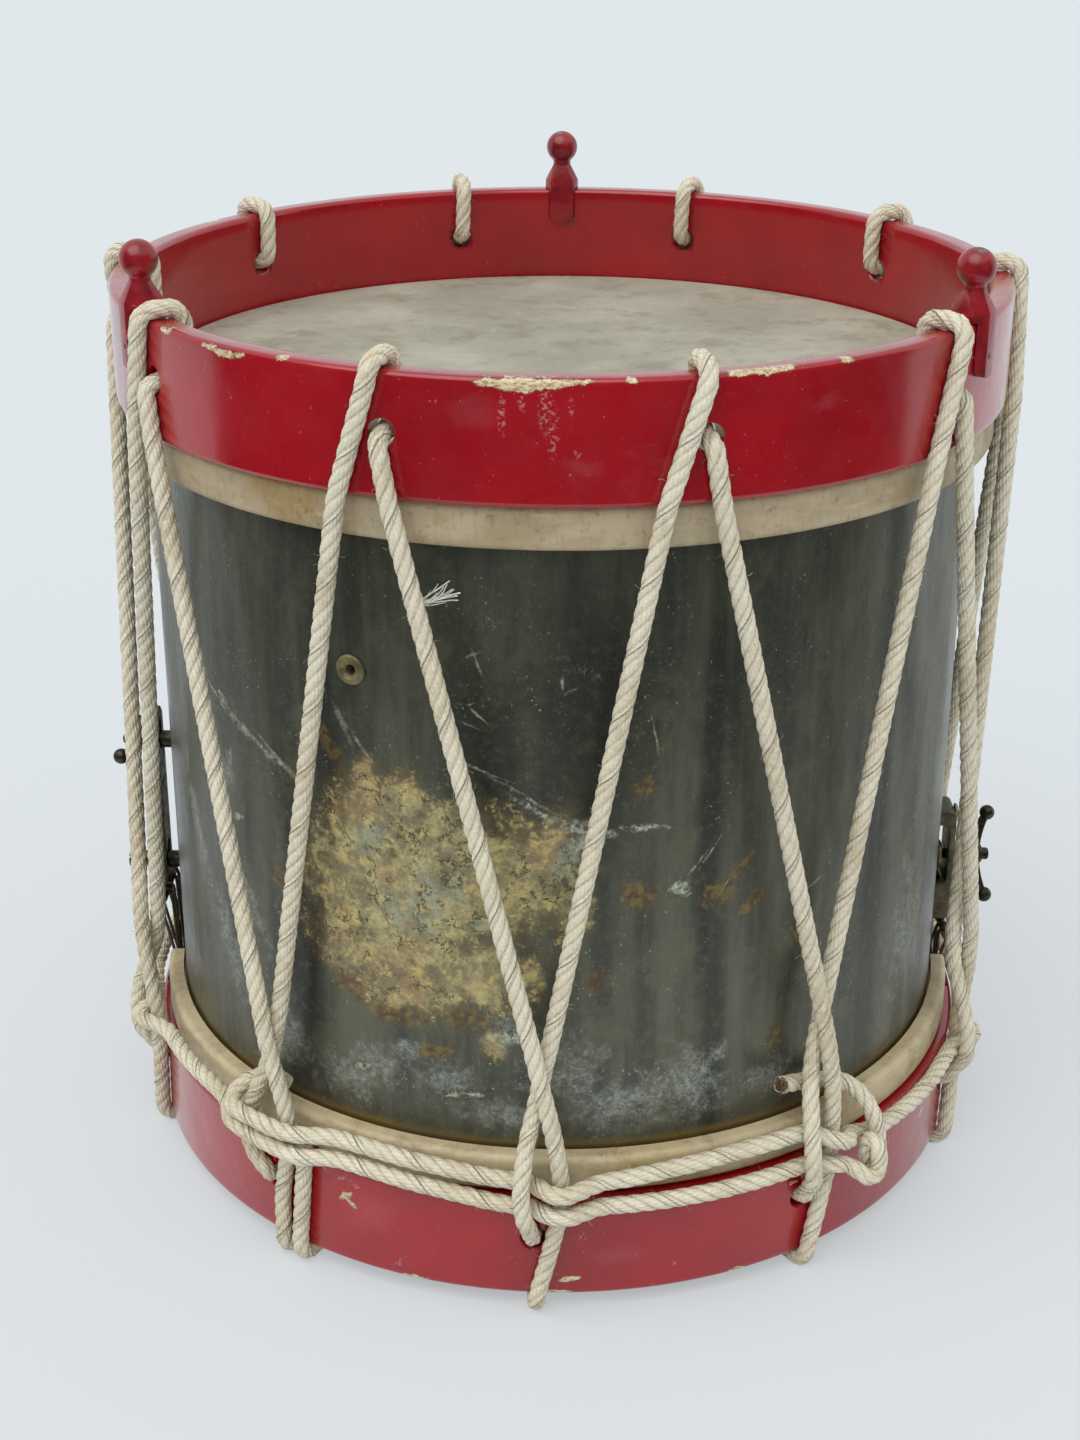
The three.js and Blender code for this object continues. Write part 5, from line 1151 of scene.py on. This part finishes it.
peg_places = (("left_rim_peg", "rim_peg_left", -61.5), ("right_rim_peg", "rim_peg_right", 58.5),
              ("back_rim_peg", "rim_peg_back", 180))
for piece_name, node_name, azimuth in peg_places:
    across = peg_width / 2 / math.cos(math.pi / 8)
    body = turned(piece_name, [(0, peg_foot), (across, peg_foot), (across, peg_shoulder),
                               (peg_neck, peg_neck_base), (peg_neck * 0.9, peg_neck_base + 0.003),
                               (0, peg_neck_base + 0.003)], 8)
    body = placed(body, turn(22.5, "Z"))
    for corner in body.vertices:
        if corner.co.x < -0.99 * peg_width / 2 and corner.co.z < peg_shoulder + 0.0001:
            corner.co.y = math.copysign(0.006, corner.co.y)
    placed(body, shift(peg_middle, 0, 0))
    peg = stand_up(piece_name, body, peg_paint)
    hoop_middle = (hoop_inside + hoop_radius) / 2
    cut(peg, solid_box((hoop_inside - seat_gap, -0.02, peg_foot - 0.01),
                       (hoop_radius + seat_gap, 0.02, hoop_rim + seat_gap)))
    cut(peg, solid_box((peg_middle - peg_width, -0.02, peg_foot - 0.01),
                       (hoop_radius, 0.02, hoop_rim - peg_inner_leg)))
    cut(peg, leg_rounding(peg_outer_leg, hoop_middle, hoop_radius + peg_width))
    cut(peg, leg_rounding(peg_inner_leg, peg_middle - peg_width, hoop_middle))
    soften(peg, 0.0005)
    knob = turned("knob", [(0, peg_neck_base - 0.001), (peg_neck, peg_neck_base - 0.0005)]
                  + arc(peg_neck + 0.0011, peg_neck_base + 0.001, 0.0012, 200, 140, 3)
                  + arc(0, peg_ball_centre, peg_ball, -52, 86, 22) + [(0, peg_ball_centre + peg_ball)], 40,
                  closed=False)
    knob = placed(knob, shift(peg_middle, 0, 0))
    nail = placed(turned("nail", [(0, peg_outer_face - 0.001), (0.0011, peg_outer_face - 0.001),
                                  (0.0011, peg_outer_face + 0.0002), (0, peg_outer_face + 0.0004)], 16),
                  turn(90, "Y"), shift(0, 0, nail_level))
    peg.data = joined(piece_name, [peg.data, knob, nail])
    peg.data.materials.append(peg_paint.material)
    paint(peg.data, "rubbed", [rubbing(vertex.co) for vertex in peg.data.vertices])
    placed(peg.data, facing(azimuth))
    smooth(peg.data, 45)
    hand_over(peg, "drum", node_name)


# Snare strainer, on the left. A slotted brass plate slides up and down on two posts bolted to the shell and
# pulls the gut tight by its crossbar; a washer and wing nut on the upper post lock it.
hardware = Finish("dark brass hardware", Metallic=1.0)
hardware_tone = hardware.grain(0.008, 6, 0.7).band(0.35, 0.65).blend((96, 94, 78), (58, 58, 50))
hardware_tone = (hardware.grain(0.003, 6, 0.8).band(0.56, 0.7) * 0.8).blend(hardware_tone, (132, 118, 84))
hardware_tone = hardware.grain(0.005, 7, 0.8).band(0.6, 0.72).blend(hardware_tone, (86, 104, 92))
hardware.give("Base Color", hardware_tone)
hardware.give("Roughness", hardware.grain(0.004, 5).band(0.3, 0.7, 0.34, 0.58))
hardware.give("Normal", hardware.grain(0.0025, 6, 0.7).relief(0.0003))

inside_face = (shell_radius - shell_wall) * math.cos(math.pi / 60)
outside_face = shell_radius + seat_gap
bolt_end = inside_face - seat_gap - 0.004 - 0.0015
stud_level = hoop_foot + hoop_height + 0.127
guide_level = hoop_foot + hoop_height + 0.061
plate_seat = outside_face + 0.0076
plate_inner = plate_seat + seat_gap
plate_outer = plate_inner + 0.0027
washer_seat = plate_outer + seat_gap
wing_seat = washer_seat + 0.0012 + seat_gap
hub_length = 0.009
to_left = turn(180, "Z")


def along_x(name, outline, finish, height, side=to_left, segments=48, across=0.0):
    return stand_up(name, placed(turned(name, outline, segments), turn(90, "Y"), shift(0, across, height),
                                 side), finish, 30)


post_outline = ([(0.007, outside_face), (0.007, outside_face + 0.0015)]
                + arc(0.0065, outside_face + 0.0015, 0.0005, 0, 90, 3) + [(0.0048, outside_face + 0.002)]
                + arc(0.0050, outside_face + 0.00275, 0.00075, 270, 180, 4)
                + [(0.00425, plate_seat - 0.0003), (0.0039, plate_seat)])
stud_end = wing_seat + hub_length + 0.005


def ridged(radius, start, end):
    """The outline of a screw thread, drawn as fine rings."""
    pitch, depth = 0.0008, 0.0003
    steps = round((end - start) / pitch)
    return [point for i in range(steps) for point in (
        (radius - depth, start + i * pitch), (radius, start + (i + 0.5) * pitch))]


stud = along_x("strainer_post", [(0, bolt_end), (0.0025, bolt_end), (0.0025, outside_face)] + post_outline
               + [(0.0025, plate_seat)] + ridged(0.0025, washer_seat, stud_end - 0.001)
               + [(0.0022, stud_end - 0.0006), (0.0015, stud_end), (0, stud_end)], hardware, stud_level)
guide = along_x("strainer_guide", [(0.003, outside_face)] + post_outline + [(0.003, plate_seat)], hardware,
                guide_level)
guide_end = hoop_radius + 0.015
guide_bolt = along_x("strainer_guide_bolt", [(0, bolt_end), (0.0025, bolt_end), (0.0025, washer_seat),
                                             (0.004, washer_seat), (0.004, guide_end - 0.004),
                                             (0.0047, guide_end - 0.0038), (0.00475, guide_end - 0.0012)]
                     + arc(0.0037, guide_end - 0.001, 0.001, 0, 90, 4) + [(0, guide_end)], hardware,
                     guide_level)
cut(guide_bolt, placed(solid_box((guide_end - 0.0012, -0.006, -0.0005), (guide_end + 0.001, 0.006, 0.0005)),
                       turn(35, "X"), shift(0, 0, guide_level), to_left))
for piece, node_name in ((stud, "strainer_stud"), (guide, "guide_post"), (guide_bolt, "guide_screw")):
    hand_over(piece, "drum", node_name)

# The plate, cut from sheet with two slots and a stem, and the round bar brazed across the stem's end
plate_top = stud_level + 0.016
plate_foot = guide_level - 0.007
bar_level = guide_level - 0.014
bar_radius = 0.002
bar_half = 0.017


def slot_path(level):
    """A slot from 2 mm below the level to 8 mm above it, which is how far the plate slides."""
    half_width = 0.003
    return arc(0, level + 0.008, half_width, 0, 180, 12) + arc(0, level - 0.002, half_width, 180, 360, 12)


def bar_across(name, radius, half, x, z):
    outline = ([(0, -half)] + arc(radius - 0.0004, -half + 0.0004, 0.0004, 270, 360, 3)
               + arc(radius - 0.0004, half - 0.0004, 0.0004, 0, 90, 3) + [(0, half)])
    return placed(turned(name, outline, 32), turn(90, "X"), shift(x, 0, z))


plate_outline = [(-0.0022, bar_level), (0.0022, bar_level), (0.0022, plate_foot), (0.008, plate_foot),
                 (0.008, plate_top - 0.004), (0.004, plate_top), (-0.004, plate_top),
                 (-0.008, plate_top - 0.004), (-0.008, plate_foot), (-0.0022, plate_foot)]
sheet = placed(plate(plate_outline, [slot_path(stud_level), slot_path(guide_level)], 0.0027, 0.0003),
               shift(plate_inner, 0, 0))
bar = bar_across("bar", bar_radius, bar_half, (plate_inner + plate_outer) / 2, bar_level)
slide_plate = stand_up("strainer_slide_plate", placed(joined("strainer_slide_plate", [sheet, bar]), to_left),
                       hardware, 30)
hand_over(slide_plate, "strainer_plate", "strainer_plate")

washer = along_x("strainer_ring", [(0.003, washer_seat + 0.0002), (0.0032, washer_seat),
                                   (0.0058, washer_seat), (0.006, washer_seat + 0.0002),
                                   (0.006, washer_seat + 0.001), (0.0058, washer_seat + 0.0012),
                                   (0.0032, washer_seat + 0.0012), (0.003, washer_seat + 0.001)],
                 eyelet_finish, stud_level)
hand_over(washer, "strainer_washer", "strainer_washer")


def winged(name, start, bore):
    """A cast hub on the X axis with two bowed wings across Y that end in balls."""
    tip, ball = 0.021, 0.00375
    tip_centre = start + hub_length + 0.006 - ball
    root = start + 0.001
    lower = [(tip * i / 8, root + (tip_centre - 0.0016 - root) * (i / 8) ** 2) for i in range(9)]
    upper = [(tip * i / 8, root + 0.007 + (tip_centre + 0.0016 - root - 0.007) * (i / 8) ** 2)
             for i in range(8, -1, -1)]
    parts = []
    for sign in (1, -1):
        wing = plate([(sign * a, b) for a, b in lower + upper], [], 0.0034, 0.0008)
        parts.append(placed(wing, shift(-0.0017, 0, 0), turn(90, "Y")))
        ball_outline = [(0, -ball)] + arc(0, 0, ball, -80, 80, 12) + [(0, ball)]
        parts.append(placed(turned("ball", ball_outline, 24), shift(tip_centre, sign * tip, 0)))
    hub = [(bore, start), (0.0052, start), (0.0055, start + 0.0004), (0.0046, start + hub_length - 0.0006),
           (0.0040, start + hub_length), (bore, start + hub_length)]
    parts.append(placed(turned("hub", hub, 40), turn(90, "Y")))
    return joined(name, parts)


wing_nut = stand_up("strainer_wings", placed(winged("strainer_wings", wing_seat, 0.003),
                                             shift(0, 0, stud_level), to_left), hardware, 35)
hand_over(wing_nut, "strainer_wing_nut", "strainer_wing_nut")


# Snare butt, on the right. A cast bracket bridges off the shell on two lugs held by three rivets; the gut is
# looped on its crossbar, and a wing screw presses a round pad on the gut's ends to hold them.
tan_brass = Finish("tan brass casting", Metallic=0.9)
tan_tone = tan_brass.grain(0.01, 6, 0.7).band(0.35, 0.65).blend((128, 120, 94), (82, 80, 64))
tan_tone = tan_brass.grain(0.004, 7, 0.8).band(0.58, 0.7).blend(tan_tone, (60, 60, 52))
tan_brass.give("Base Color", tan_tone)
tan_brass.give("Roughness", tan_brass.grain(0.004, 5).band(0.3, 0.7, 0.38, 0.62))
tan_brass.give("Normal", tan_brass.grain(0.0025, 6, 0.7).relief(0.0003))

in_place = Matrix.Identity(4)
lug_foot = hoop_foot + hoop_height + 0.035
lug_top = lug_foot + 0.020
upper_lug_foot = hoop_foot + hoop_height + 0.087
upper_lug_top = upper_lug_foot + 0.007
web_inner = shell_radius + 0.0067
web_outer = web_inner + 0.003
bracket_half = 0.010
clamp_level = hoop_foot + hoop_height + 0.067
butt_bar_level = lug_foot - 0.006
butt_bar_radial = web_outer - bar_radius

side_view = [(outside_face, lug_foot), (web_outer - 0.003, lug_foot)] + arc(
    web_outer - 0.003, lug_foot + 0.003, 0.003, -60, 0, 4) + arc(
    web_outer - 0.003, upper_lug_top - 0.003, 0.003, 0, 60, 4) + [
    (web_outer - 0.003, upper_lug_top), (outside_face, upper_lug_top), (outside_face, upper_lug_foot),
    (web_inner - 0.003, upper_lug_foot), (web_inner - 0.0008, upper_lug_foot - 0.0008),
    (web_inner, upper_lug_foot - 0.003), (web_inner, lug_top + 0.003), (web_inner - 0.0008, lug_top + 0.0008),
    (web_inner - 0.003, lug_top), (outside_face, lug_top)]
bracket_body = placed(plate(side_view, [], 2 * bracket_half, 0.0005), shift(-bracket_half, 0, 0),
                      turn(-90, "Z"))
bracket = stand_up("butt_casting", bracket_body, tan_brass)
cut(bracket, solid_box((outside_face - 0.005, -0.0057, lug_foot - 0.005),
                       (outside_face + 0.0046, 0.0057, lug_top + 0.004)))
cut(bracket, placed(turned("screw hole", [(0, web_inner - 0.002), (0.003, web_inner - 0.002),
                                          (0.003, web_outer + 0.005), (0, web_outer + 0.005)], 24),
                    turn(90, "Y"), shift(0, 0, clamp_level)))
rivet_places = ((0.0, (upper_lug_foot + upper_lug_top) / 2, "butt_rivet_upper"),
                (-0.0076, (lug_foot + lug_top) / 2, "butt_rivet_lower_front"),
                (0.0076, (lug_foot + lug_top) / 2, "butt_rivet_lower_rear"))
for across, height, node_name in rivet_places:
    cut(bracket, placed(turned("rivet hole", [(0, outside_face - 0.002), (0.002, outside_face - 0.002),
                                              (0.002, web_outer + 0.003), (0, web_outer + 0.003)], 20),
                        turn(90, "Y"), shift(0, across, height)))
stem = solid_box((web_outer - 0.0035, -0.0022, butt_bar_level),
                 (web_outer - 0.0005, 0.0022, lug_foot + 0.002))
bar = bar_across("bar", bar_radius, bar_half, butt_bar_radial, butt_bar_level)
bracket.data = joined("butt_casting", [bracket.data, stem, bar])
bracket.data.materials.append(tan_brass.material)
smooth(bracket.data, 35)
hand_over(bracket, "drum", "butt_bracket")

rivet_inner = inside_face - seat_gap - 0.002
for across, height, node_name in rivet_places:
    head = web_outer + seat_gap
    rivet = along_x(node_name.replace("butt_rivet", "rivet"), [
        (0, rivet_inner - 0.002), (0.0030, rivet_inner - 0.002), (0.00375, rivet_inner - 0.001),
        (0.00375, rivet_inner + 0.0017), (0.0017, rivet_inner + 0.0017), (0.0017, head), (0.004, head),
        (0.0039, head + 0.0006), (0.0034, head + 0.0012), (0.0024, head + 0.0017), (0.0012, head + 0.00195),
        (0, head + 0.002)], eyelet_finish, height, in_place, 32, across)
    hand_over(rivet, "drum", node_name)

pad_seat = outside_face + 0.0018 + 2 * seat_gap
pad = along_x("clamp_disc", [(0, pad_seat), (0.0066, pad_seat), (0.007, pad_seat + 0.0004),
                             (0.007, pad_seat + 0.0014), (0.0066, pad_seat + 0.0018), (0, pad_seat + 0.0018)],
              eyelet_finish, clamp_level, in_place)
hand_over(pad, "clamp_pad", "clamp_pad")

screw_tip = pad_seat + 0.0018 + seat_gap
screw_hub = shell_radius + 0.016
button_end = screw_hub + hub_length + 0.0035
shank = placed(turned("shank", [(0, screw_tip), (0.0019, screw_tip), (0.0022, screw_tip + 0.0004)]
                      + ridged(0.0025, screw_tip + 0.0006, screw_hub - 0.001)
                      + [(0.0025, screw_hub + 0.001), (0, screw_hub + 0.001)], 32), turn(90, "Y"))
button = placed(turned("button", [(0, screw_hub + hub_length - 0.001),
                                  (0.003, screw_hub + hub_length - 0.001), (0.003, button_end - 0.0012)]
                       + arc(0.0018, button_end - 0.0012, 0.0012, 0, 90, 5) + [(0, button_end)], 32),
                turn(90, "Y"))
screw_mesh = joined("clamp_wings", [winged("wings", screw_hub, 0), shank, button])
wing_screw = stand_up("clamp_wings", placed(screw_mesh, turn(76, "X"), shift(0, 0, clamp_level)), hardware,
                      35)
hand_over(wing_screw, "clamp_wing_screw", "clamp_wing_screw")

# The nuts inside the shell, and nothing else of the hardware, keep the shapes that model.glb gives them
for node_name in ("strainer_stud_nut", "guide_screw_nut"):
    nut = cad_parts[node_name]
    for material_slot in nut.material_slots:
        material_slot.material = eyelet_finish.material


# Snares. Two lengths of twisted gut, each laid four times across the lower head; they are looped on the
# strainer's bar at the left and on the butt's at the right, and two ends are pinched under the clamp.
gut_radius = 0.0009
gut_pitch = 0.0032
gut_level = lower_face - 1.4 * seat_gap - gut_radius
gut_turn = bar_radius + seat_gap + gut_radius
gate_radial = collar_outside + 0.0024
gate_sill = lower_flesh_foot + 0.006


def up_through_gate():
    return [(collar_outside - seat_gap, gut_level), (collar_outside + 0.0018, lower_face + seat_gap),
            (gate_radial, lower_face + 0.0036), (gate_radial + gut_radius, gate_sill + seat_gap)]


def over_bar(radial, height, start, end):
    points = []
    for i in range(13):
        angle = math.pi * (1 - i / 12)
        points.append((radial + gut_turn * math.cos(angle), start + (end - start) * i / 12,
                       height + gut_turn * math.sin(angle)))
    return points


def gut_route(sign):
    def across(run):
        return sign * (0.004 + gut_pitch * run)

    def climb(run, left, down):
        rows = [Vector((-x if left else x, across(run), z)) for x, z in up_through_gate()]
        return rows[::-1] if down else rows

    def round_bar(radial, level, start, end, left):
        turned_over = over_bar(radial, level, across(start), across(end))
        return [Vector((-x if left else x, y, z)) for x, y, z in turned_over]

    left_bar = (plate_inner + plate_outer) / 2
    clamp_radial = outside_face + seat_gap + gut_radius
    clamp_across = sign * 0.00288
    route = [Vector((clamp_radial, clamp_across, clamp_level + 0.014 / 3)),
             Vector((clamp_radial, clamp_across, clamp_level - 0.007)),
             Vector((clamp_radial, across(0), lug_foot - 0.0018)),
             Vector((clamp_radial, across(0), butt_bar_level - 0.004))]
    for run in (0, 2):
        route += climb(run, False, True) + climb(run, True, False)
        route += round_bar(left_bar, bar_level, run, run + 1, True)
        route += climb(run + 1, True, True) + climb(run + 1, False, False)
        route += round_bar(butt_bar_radial, butt_bar_level, run + 1, min(run + 2, 3), False)
    route.append(Vector((route[-1].x, route[-1].y, butt_bar_level - 0.004)))
    return route


gut = Finish("twisted gut", Roughness=0.5, Specular_IOR_Level=0.45)
gut_tone = gut.grain(0.02, 5).band(0.35, 0.65).blend((74, 62, 48), (36, 32, 28))
gut_tone = (gut.grain(0.003, 6, 0.8).band(0.56, 0.7) * 0.6).blend(gut_tone, (120, 106, 84))
gut.give("Base Color", gut_tone)
gut.give("Normal", gut.grain(0.0012, 4, 0.7).relief(0.00025))
for piece_name, node_name, sign in (("front_gut", "snare_gut_front", -1), ("rear_gut", "snare_gut_rear", 1)):
    strands = laid(piece_name, eased(gut_route(sign), most=0.003), gut_radius, 2, 0.005, 0.0012, 10, 0.14,
                   gut)
    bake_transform(strands)
    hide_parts(node_name)
